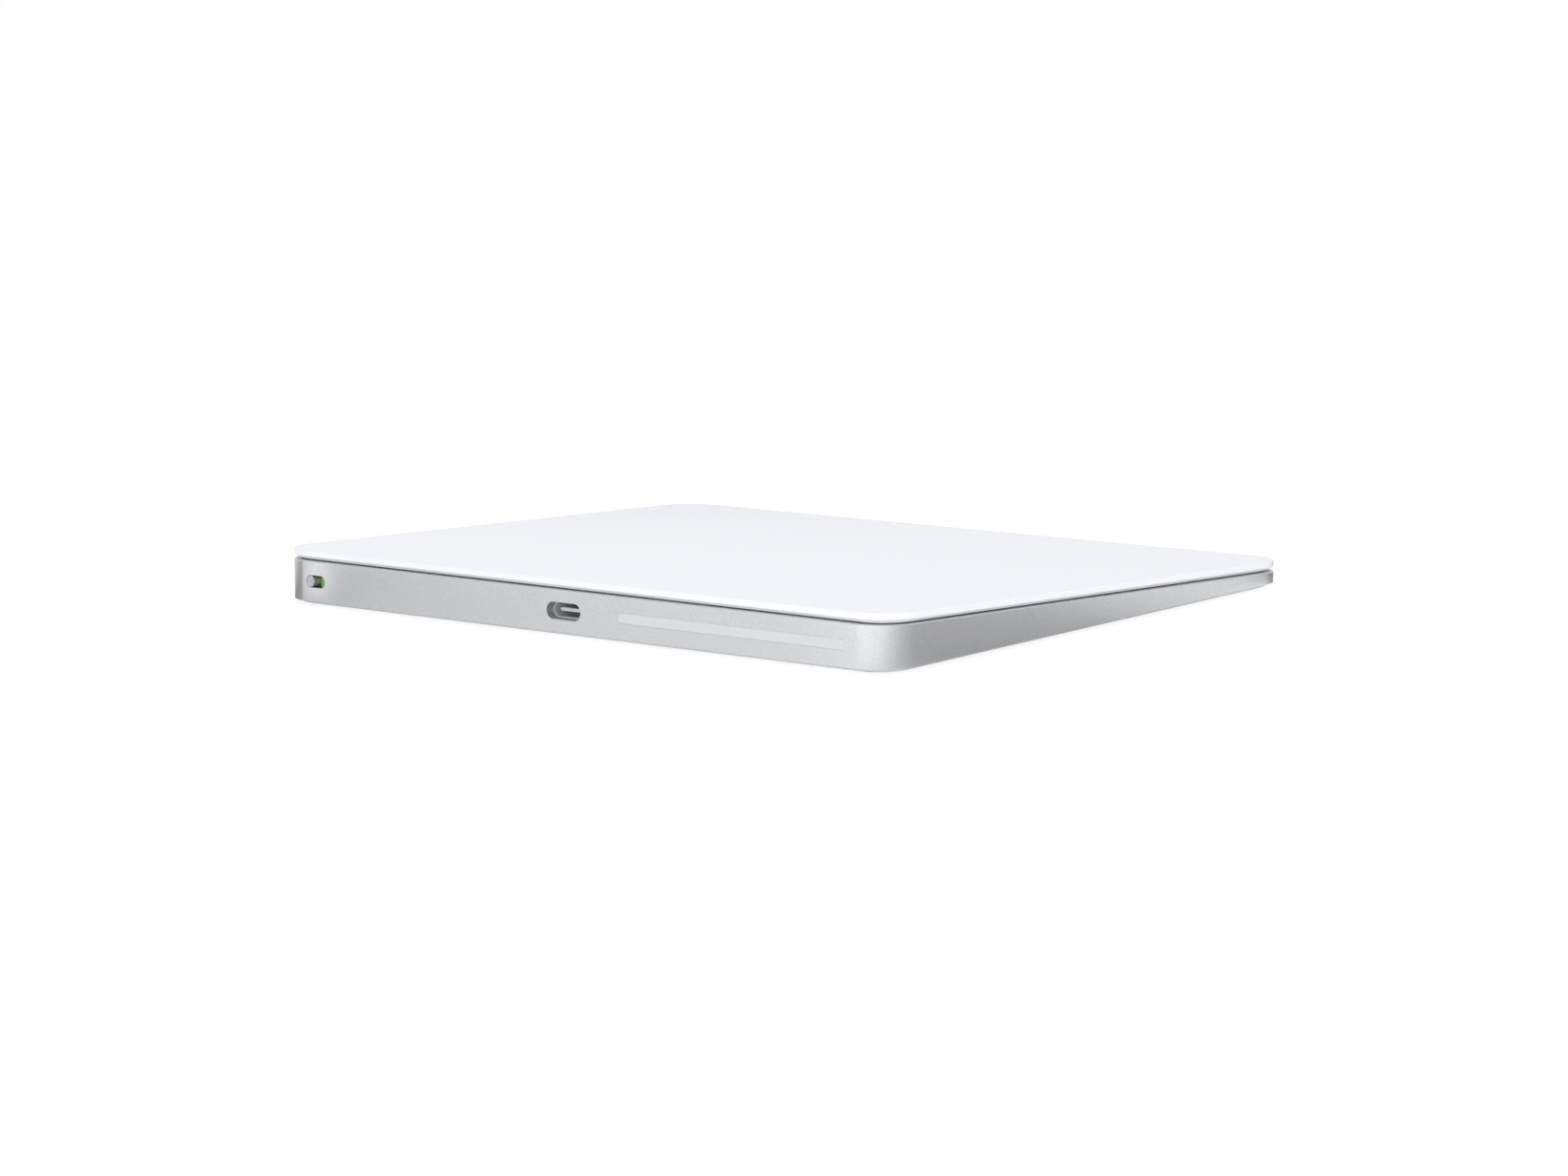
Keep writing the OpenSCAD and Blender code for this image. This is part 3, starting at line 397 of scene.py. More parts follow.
# Turned and anodised aluminium: bright fans of light on the faced end.
KNOB = TurnedFinish(
    "turned_anodised_aluminium",
    "#C2C3C6",
    "#A8A9AC",
    (0.3, 0.36),
    0.06,
    metallic=0.85,
    extras=(("Anisotropic", 0.95), ("Anisotropic Rotation", 0.25)),
)
FINISHES: dict[Slot, Finish] = {
    Slot.ALUMINIUM: ALUMINIUM,
    Slot.GLASS: GLASS,
    # Moulded polycarbonate: white, dull, and greyed by the shadow of the gap that it stands in.
    Slot.TRIM_RING: Finish("moulded_white_polycarbonate", "#FAFBFD", "#F4F5F8", (0.45, 0.55), 0.5, 0.001),
    # Brushed stainless sheet: fine lines from side to side.
    Slot.STIFFENER: Finish(
        "brushed_stainless_sheet", "#C4C6C8", "#A9ABAE", (0.28, 0.42), 0.25, 0.002, metallic=1.0, run=Axis.X
    ),
    # Moulded ABS with a spark-eroded texture: cool white, even and dull.
    Slot.COVER: Finish("moulded_white_abs", "#E6E8EC", "#DFE1E6", (0.5, 0.6), 0.35, 0.004, ior=1.53),
    # Moulded polycarbonate that passes radio waves: milky grey without grain.
    Slot.WINDOW: Finish("moulded_milky_polycarbonate", "#D3D4D5", "#CFD0D2", (0.4, 0.46), 0.8, ior=1.58),
    # Cast silicone rubber: pale grey, chalky.
    Slot.FOOT: Finish("cast_silicone_rubber", "#C8CACD", "#BABCC0", (0.7, 0.82), 0.2, 0.004, ior=1.41),
    # Acrylic foam tape: dark grey with open pores.
    Slot.ADHESIVE: Finish("acrylic_foam_tape", "#5C5F63", "#45484B", (0.75, 0.9), 0.15, 0.01, ior=1.47),
    # Drawn and tumbled stainless sheet: satin grey, with faint lines along the drawing.
    Slot.STEEL: Finish(
        "tumbled_stainless_steel", "#D6D7D9", "#C6C7CA", (0.45, 0.55), 0.12, 0.001, metallic=0.5, run=Axis.Y
    ),
    # Zinc-plated steel: bluish grey with a soft mottle.
    Slot.SCREWS: Finish("zinc_plated_steel", "#AEB2B8", "#979BA2", (0.3, 0.42), 0.4, 0.001, metallic=1.0),
    # Stacked silicon-steel sheets: dark grey with a line for each sheet.
    Slot.IRON: BandedFinish(
        "silicon_steel_stack", "#83868A", "#5E6165", (0.4, 0.55), 0.35, 0.004, metallic=1.0
    ),
    # Enamelled copper wire: warm brown-red under a clear varnish.
    Slot.COPPER: Finish(
        "enamelled_copper_wire",
        "#C27A48",
        "#A45F33",
        (0.25, 0.38),
        0.3,
        metallic=1.0,
        extras=(("Coat Weight", 0.6), ("Coat Roughness", 0.15)),
    ),
    # Palladium-nickel plated contacts: pale warm grey, fine rolling lines.
    Slot.CONTACTS: Finish(
        "palladium_nickel_plate", "#CFC9BC", "#B9B3A6", (0.25, 0.38), 0.08, metallic=1.0, run=Axis.Y
    ),
    # Solder mask over glass-fibre board: green lacquer, copper tracks showing through.
    Slot.BOARD: TracedFinish("green_solder_mask", "#2F6A48", "#1F4C33", (0.3, 0.42), 0.5, 0.01, ior=1.52),
    # Epoxy mould compound: near black, fine matt.
    Slot.CHIP: Finish("epoxy_mould_compound", "#2A2B2E", "#1C1D20", (0.55, 0.7), 0.1, 0.003, ior=1.55),
    # Moulded liquid-crystal polymer: cream, slightly marbled along its flow.
    Slot.CONNECTOR: Finish(
        "moulded_cream_polymer", "#E9E3D3", "#DCD5C2", (0.45, 0.58), 0.4, 0.002, ior=1.6, run=Axis.X
    ),
    # Polyimide ribbon: amber film with parallel copper tracks.
    Slot.RIBBON: TracedFinish(
        "polyimide_ribbon", "#C07A34", "#8C5420", (0.28, 0.4), 0.3, 0.004, ior=1.7, lane=0.35, run=Axis.Y
    ),
    # Aluminium-laminate pouch: grey foil with a soft orange peel.
    Slot.CELL: Finish("laminate_pouch_foil", "#A3A5A9", "#8C8E93", (0.38, 0.55), 1.2, 0.03, metallic=0.7),
    # Glass-filled nylon: charcoal, fine matt.
    Slot.DARK_PLASTIC: Finish("glass_filled_nylon", "#4A4D51", "#3A3D41", (0.5, 0.65), 0.2, 0.004, ior=1.53),
    # Moulded polymer tongue: pale grey, even.
    Slot.TONGUE: Finish("moulded_pale_polymer", "#E2E3E5", "#D6D7DA", (0.35, 0.48), 0.2, 0.001, ior=1.6),
    Slot.KNOB: KNOB,
    # Moulded ABS in signal green.
    Slot.INDICATOR: Finish("moulded_green_abs", "#A5DD67", "#9AD25B", (0.42, 0.52), 0.3, 0.001, ior=1.53),
    # Cast silicone gel: faint lilac, soft and slightly see-through.
    Slot.GEL: Finish(
        "cast_silicone_gel",
        "#CFC3DE",
        "#BDB0CF",
        (0.25, 0.4),
        0.6,
        0.003,
        ior=1.41,
        extras=(("Subsurface Weight", 0.3), ("Subsurface Scale", 0.001)),
    ),
}


def rounded_rectangle(width: float, depth: float, radius: float, steps: int = 20) -> list[Point2]:
    """Points round a rectangle with rounded corners.

    Args:
        width: Size in x.
        depth: Size in y.
        radius: Radius of the corners.
        steps: Parts in each quarter of a turn.

    Returns:
        The points, counter-clockwise from the right side.
    """
    points = []
    for quarter, (sx, sy) in enumerate([(1, 1), (-1, 1), (-1, -1), (1, -1)]):
        for k in range(steps + 1):
            turn = math.radians(90) * (quarter + k / steps)
            points.append(
                (
                    sx * (width / 2 - radius) + radius * math.cos(turn),
                    sy * (depth / 2 - radius) + radius * math.sin(turn),
                )
            )
    return points


def slot_outline(length: float, height: float, steps: int = 20) -> list[Point2]:
    """Points round a slot with half-round ends.

    Args:
        length: Size in x, over the ends.
        height: Size in y.
        steps: Parts in each quarter of a turn.

    Returns:
        The points, counter-clockwise.
    """
    return rounded_rectangle(length, height, height / 2 - 1e-4, steps)


def circle(diameter: float, steps: int = 96) -> list[Point2]:
    """Points round a circle about the origin, counter-clockwise."""
    turns = (math.tau * k / steps for k in range(steps))
    return [(diameter / 2 * math.cos(t), diameter / 2 * math.sin(t)) for t in turns]


def quarter_round(
    offset: float, height: float, radius: float, start: float, steps: int = 6
) -> list[Point2]:
    """Points of a quarter round in a profile.

    Args:
        offset: Offset of the round's centre.
        height: Height of the round's centre.
        radius: Radius of the round.
        start: Angle of the first point, in degrees.
        steps: Parts of the quarter.

    Returns:
        Points (offset, height), turning counter-clockwise by 90 degrees.
    """
    turns = (math.radians(start + 90 * k / steps) for k in range(steps + 1))
    return [(offset + radius * math.cos(t), height + radius * math.sin(t)) for t in turns]


def loft(rings: Sequence[tuple[list[Point2], float]], ends: bool = True) -> bmesh.types.BMesh:
    """Skins a stack of outlines.

    Args:
        rings: Outline and height of each ring, in order, with equal counts of points.
        ends: True closes the first and last ring, False joins them to a tube.

    Returns:
        A closed skin in metres, with its faces outwards.
    """
    skin = bmesh.new()
    rows = [
        [skin.verts.new((x * MM, y * MM, height * MM)) for x, y in outline] for outline, height in rings
    ]
    pairs = list(zip(rows, rows[1:]))
    if ends:
        skin.faces.new(rows[0])
        skin.faces.new(rows[-1])
    else:
        pairs.append((rows[-1], rows[0]))
    for low, high in pairs:
        for k in range(len(low)):
            n = (k + 1) % len(low)
            skin.faces.new((low[k], low[n], high[n], high[k]))
    bmesh.ops.recalc_face_normals(skin, faces=skin.faces)
    return skin


def bake(name: str, skin: bmesh.types.BMesh, place: Matrix, sharp: float = 35.0) -> bpy.types.Object:
    """Makes a smooth-shaded piece at the origin from a skin.

    Args:
        name: Name of the piece.
        skin: The skin, which is used up.
        place: Matrix that puts it in the row frame.
        sharp: Angle in degrees from which an edge stays sharp.

    Returns:
        The piece, with its place in its mesh.
    """
    skin.transform(place)
    for face in skin.faces:
        face.smooth = True
    for edge in skin.edges:
        edge.smooth = edge.calc_face_angle(0.0) < math.radians(sharp)
    mesh = bpy.data.meshes.new(name)
    skin.to_mesh(mesh)
    skin.free()
    raw = put_in_scene(name + "_raw", mesh)
    level = raw.modifiers.new("even_shading", "WEIGHTED_NORMAL")
    level.keep_sharp = True
    level.weight = 80
    return settle(name, raw)


def settle(name: str, raw: bpy.types.Object) -> bpy.types.Object:
    """Turns an object with modifiers to a plain piece.

    Args:
        name: Name of the piece.
        raw: Object that is evaluated and then removed.

    Returns:
        A piece at the origin without modifiers.
    """
    graph = bpy.context.evaluated_depsgraph_get()
    mesh = bpy.data.meshes.new_from_object(
        raw.evaluated_get(graph), preserve_all_data_layers=True, depsgraph=graph
    )
    mesh.name = name
    bpy.data.objects.remove(raw)
    return put_in_scene(name, mesh)


def seat(
    piece: bpy.types.Object, body: Body, slot: Slot, nodes: Iterable[str] = ()
) -> bpy.types.Object:
    """Dresses a piece and hands it to its body.

    Args:
        piece: The finished piece.
        body: Body that it rides on.
        slot: Material slot that it takes its finish from.
        nodes: CAD nodes that it stands for.

    Returns:
        The piece.
    """
    piece.data.materials.clear()
    piece.data.materials.append(FINISHES[slot].material())
    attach(piece, body.value)
    nodes = list(nodes)
    if nodes:
        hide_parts(*nodes)
    LOG.info("%s rides on %s in %s", piece.name, body.value, slot.value)
    return piece


def point_cloud(name: str, points: Iterable[Sequence[float]]) -> bpy.types.Object:
    """Makes a seed object of bare points, in metres, for a node tree to work on."""
    mesh = bpy.data.meshes.new(name)
    mesh.from_pydata([tuple(p) for p in points], [], [])
    return put_in_scene(name, mesh)


def loose_boxes(node: bpy.types.Object) -> list[tuple[Vector, Vector]]:
    """Boxes of the separate solids in a CAD node, in the slope frame, in metres.

    Args:
        node: Object of the CAD node.

    Returns:
        Low and high corner of each solid, sorted by place.
    """
    back = SLOPE.matrix.inverted()
    copy = bmesh.new()
    copy.from_mesh(node.data)
    bmesh.ops.remove_doubles(copy, verts=copy.verts, dist=1e-7)
    left = set(copy.verts)
    boxes = []
    while left:
        stack, found = [left.pop()], []
        while stack:
            vert = stack.pop()
            found.append(back @ vert.co)
            near = {edge.other_vert(vert) for edge in vert.link_edges} & left
            left -= near
            stack.extend(near)
        boxes.append((Vector(map(min, *found)), Vector(map(max, *found))))
    copy.free()
    return sorted(boxes, key=lambda box: (round(box[0].x, 5), round(box[0].y, 5)))


SOCKETS: dict[type, str] = {
    int: "NodeSocketInt",
    float: "NodeSocketFloat",
    tuple: "NodeSocketVector",
    bpy.types.Material: "NodeSocketMaterial",
}


@dataclass
class NodeTree:
    """Geometry Nodes tree that is built in the script and run on a seed object."""

    name: str
    values: dict[str, Any] = field(default_factory=dict)
    tree: bpy.types.NodeTree = field(init=False)
    source: bpy.types.Node = field(init=False)

    def __post_init__(self) -> None:
        """Starts the tree with its geometry sockets."""
        self.tree = bpy.data.node_groups.new(self.name, "GeometryNodeTree")
        self.tree.interface.new_socket("Geometry", in_out="INPUT", socket_type="NodeSocketGeometry")
        self.tree.interface.new_socket("Geometry", in_out="OUTPUT", socket_type="NodeSocketGeometry")
        self.source = self.tree.nodes.new("NodeGroupInput")

    def size(self, name: str, value: Any) -> bpy.types.NodeSocket:
        """Adds a named input.

        Args:
            name: Name of the input.
            value: Its value, in metres where it is a length.

        Returns:
            The socket that gives the input's value in the tree.
        """
        self.tree.interface.new_socket(name, in_out="INPUT", socket_type=SOCKETS[type(value)])
        self.values[name] = value
        return self.source.outputs[name]

    def add(self, kind: str, inputs: dict[Any, Any] | None = None, **settings: Any) -> bpy.types.NodeSocket:
        """Adds a geometry node and gives its first output that is in use."""
        node = add_node(self.tree, "GeometryNode" + kind, inputs, **settings)
        return next(s for s in node.outputs if s.enabled)

    def calc(self, operation: str, *values: Any) -> bpy.types.NodeSocket:
        """Adds a sum on numbers or sockets and gives its result."""
        node = add_node(self.tree, "ShaderNodeMath", dict(enumerate(values)), operation=operation)
        return node.outputs[0]

    def on_slope(self, geometry: bpy.types.NodeSocket) -> bpy.types.NodeSocket:
        """Lays geometry of the slope frame in the row frame."""
        move = SLOPE.matrix
        inputs = {"Geometry": geometry, "Translation": move.translation, "Rotation": move.to_euler()}
        return self.add("Transform", inputs)

    def close(self, geometry: bpy.types.NodeSocket, slot: Slot) -> None:
        """Ends the tree in real geometry with its material.

        Args:
            geometry: Socket of the geometry, instances included.
            slot: Slot whose finish the geometry takes.
        """
        coat = self.size("Material", FINISHES[slot].material())
        real = self.add("RealizeInstances", {"Geometry": geometry})
        dressed = self.add("SetMaterial", {"Geometry": real, "Material": coat})
        add_node(self.tree, "NodeGroupOutput", {"Geometry": dressed})

    def run(self, name: str, seed: bpy.types.Object) -> bpy.types.Object:
        """Runs the tree on a seed object.

        Args:
            name: Name of the piece.
            seed: Object whose geometry the tree takes; it is used up.

        Returns:
            The result as a plain piece at the origin.
        """
        work = seed.modifiers.new(self.name, "NODES")
        work.node_group = self.tree
        for item in self.tree.interface.items_tree:
            if item.item_type == "SOCKET" and item.in_out == "INPUT" and item.name in self.values:
                work[item.identifier] = self.values[item.name]
        return settle(name, seed)


@dataclass
class TouchGlass:
    """Glass plate of the touch pad, with rounded rims."""

    width: float = 160.0
    depth: float = 114.5
    corner_r: float = 7.4
    thick: float = 1.4
    rim_r: float = 0.3

    def outline(self, offset: float) -> list[Point2]:
        """Outline of the glass, grown by an offset."""
        grow = 2 * offset
        return rounded_rectangle(self.width + grow, self.depth + grow, self.corner_r + offset, 28)

    def mark_painted_edge_light(self, plate: bpy.types.Object, name: str) -> None:
        """Marks the cut edge, below the round at the top, with 1, where the painted highlight goes.

        Args:
            plate: The glass.
            name: Name of the attribute.
        """
        back = SLOPE.matrix.inverted()
        marks = plate.data.attributes.new(name, "FLOAT", "POINT").data
        for vert, mark in zip(plate.data.vertices, marks):
            depth = -(back @ vert.co).z / MM
            mark.value = min(1.0, depth / self.rim_r)

    def build(self) -> None:
        """Builds the plate in place of its CAD node."""
        rim = self.rim_r
        profile = quarter_round(-rim, -self.thick + rim, rim, -90) + quarter_round(-rim, -rim, rim, 0)
        rings = [(self.outline(offset), height) for offset, height in profile]
        plate = bake("glass_top", loft(rings), SLOPE.matrix)
        # Marks where the painted highlight on the cut edge goes.
        self.mark_painted_edge_light(plate, GLASS.mark)
        seat(plate, Body.PAD, Slot.GLASS, ["glass_plate"])


@dataclass
class Tray:
    """Aluminium tray: the CAD's own shape, with the rims of its openings broken."""

    rear_v: float = 57.25
    break_w: float = 0.14
    flat: float = 0.004
    rim_x: tuple[Point2, ...] = ((-4.7, 4.7), (66.2, 72.0))
    rim_w: Point2 = (-8.2, -3.9)

    def on_rim(self, vert: bmesh.types.BMVert, back: Matrix) -> bool:
        """Tells whether a vertex lies on the outer rim of an opening.

        Args:
            vert: Vertex in the row frame.
            back: Matrix from the row frame to the slope frame.

        Returns:
            True on the rear wall's face, within the openings' boxes.
        """
        x, v, w = (back @ vert.co) / MM
        inside = any(low < x < high for low, high in self.rim_x)
        return inside and abs(v - self.rear_v) < self.flat and self.rim_w[0] < w < self.rim_w[1]

    def build(self, node: bpy.types.Object) -> None:
        """Builds the tray in place of its CAD node.

        Args:
            node: Object of the CAD node.
        """
        back = SLOPE.matrix.inverted()
        skin = bmesh.new()
        skin.from_mesh(node.data)
        bmesh.ops.remove_doubles(skin, verts=skin.verts, dist=2e-6)
        bmesh.ops.dissolve_limit(
            skin, angle_limit=math.radians(0.3), verts=skin.verts, edges=skin.edges
        )
        rim = [
            e
            for e in skin.edges
            if all(self.on_rim(v, back) for v in e.verts) and e.calc_face_angle(0.0) > 1.0
        ]
        bmesh.ops.bevel(
            skin,
            geom=rim,
            offset=self.break_w * MM,
            segments=2,
            profile=0.6,
            affect="EDGES",
            clamp_overlap=True,
        )
        LOG.info("tray: %d rim edges broken", len(rim))
        seat(bake("tray", skin, Matrix.Identity(4), 20.0), Body.BASE, Slot.ALUMINIUM, ["enclosure"])


@dataclass
class AntennaWindow:
    """Plastic strip in the rear wall, fitted close in its opening."""

    middle_x: float = -42.2
    length: float = 56.08
    height: float = 1.93
    front_v: float = 57.25
    wall_v: float = 55.55
    wall_w: float = -6.067
    flange_w: float = 0.86
    flange_t: float = 0.5
    rim_r: float = 0.04

    def outline(self, offset: float) -> list[Point2]:
        """Outline of the strip, grown by an offset."""
        return slot_outline(self.length + 2 * offset, self.height + 2 * offset)

    def build(self) -> None:
        """Builds the strip and its flange in place of their CAD node."""
        wall = self.front_v - self.wall_v
        back = wall + self.flange_t
        profile = [(-self.rim_r, 0.0), (0.0, self.rim_r), (0.0, wall)]
        profile += [(self.flange_w, wall), (self.flange_w, back)]
        place = SLOPE.across(self.middle_x, self.front_v, self.wall_w)
        rings = [(self.outline(offset), depth) for offset, depth in profile]
        seat(bake("antenna_strip", loft(rings), place), Body.BASE, Slot.WINDOW, ["antenna_window"])


@dataclass
class PowerSwitch:
    """Turned knob of the power switch, with its stud in the carriage."""

    x: float = 70.65
    front_v: float = 57.3
    wall_w: float = -6.067
    knob_d: float = 2.3
    stud_d: float = 1.38
    knob_len: float = 1.85
    stud_len: float = 0.8
    bevel: float = 0.09
    dish: float = 0.03

    def rings(self) -> list[tuple[list[Point2], float]]:
        """Circles of the knob from the middle of its dished face back to the stud."""
        face_d = self.knob_d - 2 * self.bevel
        shape = [(0.1, self.dish), (face_d / 2, self.dish / 2), (face_d, 0.0)]
        shape += [(self.knob_d, self.bevel), (self.knob_d, self.knob_len)]
        shape += [(self.stud_d, self.knob_len), (self.stud_d, self.knob_len + self.stud_len)]
        return [(circle(d), depth) for d, depth in shape]

    def turning_map(self, piece: bpy.types.Object, back: Matrix, name: str) -> None:
        """Lays a UV map round the knob's axis, for the lathe's circles.

        Args:
            piece: The knob.
            back: Matrix from the row frame to the knob's own frame.
            name: Name of the map.
        """
        mesh = piece.data
        layer = mesh.uv_layers.new(name=name)
        for face in mesh.polygons:
            middle = back @ face.center
            base = math.atan2(middle.y, middle.x)
            for corner in face.loop_indices:
                p = back @ mesh.vertices[mesh.loops[corner].vertex_index].co
                turn = math.remainder(math.atan2(p.y, p.x) - base, math.tau) + base
                layer.data[corner].uv = (turn / math.tau, Vector((p.x, p.y)).length / MM + p.z / MM)

    def build(self) -> None:
        """Builds the knob in place of its CAD node."""
        place = SLOPE.across(self.x, self.front_v, self.wall_w)
        knob = bake("switch_button", loft(self.rings()), place, 30.0)
        self.turning_map(knob, place.inverted(), KNOB.uv_map)
        seat(knob, Body.SWITCH, Slot.KNOB, ["switch_knob"])


@dataclass
class ChargingPort:
    """Socket behind the rear wall: rolled shell, tongue and its contacts."""

    mouth_v: float = 55.5
    wall_w: float = -6.067
    socket: Point2 = (8.34, 2.56)
    shell_wall: float = 0.3
    shell_len: float = 7.3
    lip_r: float = 0.12
    tongue: Point2 = (6.69, 0.7)
    tongue_at: float = 0.7
    root_len: float = 1.8
    nose_r: float = 0.2
    contact_n: int = 12
    contact_pitch: float = 0.5
    contact_w: float = 0.25
    contact_t: float = 0.05
    contact_back: float = 0.5
    contact_nose: float = 0.45

    def socket_outline(self, offset: float) -> list[Point2]:
        """Outline of the socket, grown by an offset."""
        return slot_outline(self.socket[0] + 2 * offset, self.socket[1] + 2 * offset)

    def tongue_outline(self, offset: float) -> list[Point2]:
        """Outline of the tongue, grown by an offset."""
        return slot_outline(self.tongue[0] + 2 * offset, self.tongue[1] + 2 * offset)

    def build_shell(self, place: Matrix) -> None:
        """Builds the drawn shell, rolled over at its mouth.

        Args:
            place: Matrix of the mouth, with depth along its z.
        """
        r = self.lip_r
        profile = [(self.shell_wall, self.shell_len)]
        profile += [(x, r - h) for x, h in quarter_round(self.shell_wall - r, 0.0, r, 0)]
        profile += [(x, r - h) for x, h in quarter_round(r, 0.0, r, 90)]
        profile += [(0.0, self.shell_len)]
        rings = [(self.socket_outline(offset), depth) for offset, depth in profile]
        shell = bake("port_sleeve", loft(rings, ends=False), place, 50.0)
        seat(shell, Body.BASE, Slot.STEEL, ["port_shell"])

    def build_tongue(self, place: Matrix) -> None:
        """Builds the tongue with its rounded nose and the block at its root.

        Args:
            place: Matrix of the mouth, with depth along its z.
        """
        r = self.nose_r
        nose = [(x - r, self.tongue_at + r - h) for x, h in quarter_round(0.0, 0.0, r, 0)]
        rings = [(self.tongue_outline(offset), depth) for offset, depth in reversed(nose)]
        root = self.shell_len - self.root_len
        rings.append((self.tongue_outline(0.0), root))
        rings += [(self.socket_outline(0.0), depth) for depth in (root, self.shell_len)]
        seat(bake("port_blade", loft(rings), place, 50.0), Body.BASE, Slot.TONGUE, ["port_tongue"])

    def build_contacts(self) -> None:
        """Builds the rows of contacts over and under the tongue."""
        length_mm = self.shell_len - self.root_len - self.tongue_at - self.contact_back
        middle_v = self.mouth_v - self.tongue_at - self.contact_back - length_mm / 2
        first_x = -(self.contact_n - 1) / 2 * self.contact_pitch
        upper_w = self.wall_w + self.tongue[1] / 2
        drop = -(self.tongue[1] + self.contact_t)
        maker = NodeTree("contact_rows")
        count = maker.size("Count", self.contact_n)
        pitch = maker.size("Pitch", metres(self.contact_pitch, 0.0, 0.0))
        first = maker.size("First", metres(first_x, middle_v, upper_w))
        wide = maker.size("Width", self.contact_w * MM)
        length = maker.size("Length", length_mm * MM)
        thick = maker.size("Thickness", self.contact_t * MM)
        between = maker.size("Between Rows", metres(0.0, 0.0, drop))
        bar = maker.add("CurvePrimitiveQuadrilateral", {"Width": wide, "Height": length})
        nose = maker.calc("MULTIPLY", wide, self.contact_nose)
        bar = maker.add("FilletCurve", {"Curve": bar, "Count": 3, "Radius": nose}, mode="POLY")
        base = maker.add("FillCurve", {"Curve": bar}, mode="NGONS")
        top = maker.add("ExtrudeMesh", {"Mesh": base, "Offset Scale": thick, "Individual": False})
        under = maker.add("FlipFaces", {"Mesh": base})
        bar = maker.add("JoinGeometry", {"Geometry": [top, under]})
        bar = maker.add("MergeByDistance", {"Geometry": bar, "Distance": 1e-6})
        line = maker.add("MeshLine", {"Count": count, "Start Location": first, "Offset": pitch})
        row = maker.add("InstanceOnPoints", {"Points": line, "Instance": bar})
        lower = maker.add("Transform", {"Geometry": row, "Translation": between})
        rows = maker.add("JoinGeometry", {"Geometry": [row, lower]})
        maker.close(maker.on_slope(rows), Slot.CONTACTS)
        rows = maker.run("port_contact_rows", point_cloud("contact_seed", []))
        seat(rows, Body.BASE, Slot.CONTACTS, ["port_contacts"])

    def build(self) -> None:
        """Builds the socket's three pieces in place of their CAD nodes."""
        place = SLOPE.across(0.0, self.mouth_v, self.wall_w)
        self.build_shell(place)
        self.build_tongue(place)
        self.build_contacts()


@dataclass
class Feet:
    """Round feet under the cover, each a soft-edged puck."""

    diameter: float = 8.0
    height: float = 0.6
    square: float = 0.12
    around_n: int = 65
    rise_n: int = 27
    nodes: tuple[str, ...] = ("foot_front_left", "foot_front_right", "foot_rear_left", "foot_rear_right")

    def tree(self) -> NodeTree:
        """Builds the tree that turns a grid to a puck and sets it on every point.

        Returns:
            The tree, with the inputs Radius, Half Height and Squareness.
        """
        maker = NodeTree("foot_pucks")
        points = maker.source.outputs["Geometry"]
        radius = maker.size("Radius", self.diameter / 2 * MM)
        half = maker.size("Half Height", self.height / 2 * MM)
        square = maker.size("Squareness", self.square)
        sheet = maker.add(
            "MeshGrid",
            {"Size X": math.tau, "Size Y": math.pi, "Vertices X": self.around_n, "Vertices Y": self.rise_n},
        )
        place = add_node(maker.tree, "ShaderNodeSeparateXYZ", {0: maker.add("InputPosition")})
        around, rise = place.outputs["X"], place.outputs["Y"]
        out = maker.calc("MAXIMUM", maker.calc("COSINE", rise), 0.0)
        out = maker.calc("MULTIPLY", maker.calc("POWER", out, square), radius)
        high = maker.calc("SINE", rise)
        sign = maker.calc("SIGN", high)
        high = maker.calc("POWER", maker.calc("ABSOLUTE", high), square)
        high = maker.calc("MULTIPLY", maker.calc("MULTIPLY", high, half), sign)
        east = maker.calc("MULTIPLY", maker.calc("COSINE", around), out)
        north = maker.calc("MULTIPLY", maker.calc("SINE", around), out)
        spot = add_node(maker.tree, "ShaderNodeCombineXYZ", {"X": east, "Y": north, "Z": high})
        puck = maker.add("SetPosition", {"Geometry": sheet, "Position": spot.outputs[0]})
        puck = maker.add("MergeByDistance", {"Geometry": puck, "Distance": 1e-6})
        puck = maker.add("SetShadeSmooth", {"Geometry": puck})
        placed = maker.add("InstanceOnPoints", {"Points": points, "Instance": puck})
        maker.close(placed, Slot.FOOT)
        return maker

    def build(self) -> None:
        """Builds the four feet in place of their CAD nodes."""
        boxes = [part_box(n) for n in self.nodes]
        seed = point_cloud("foot_seed", [(low + high) / 2 for low, high in boxes])
        seat(self.tree().run("feet", seed), Body.BASE, Slot.FOOT, self.nodes)


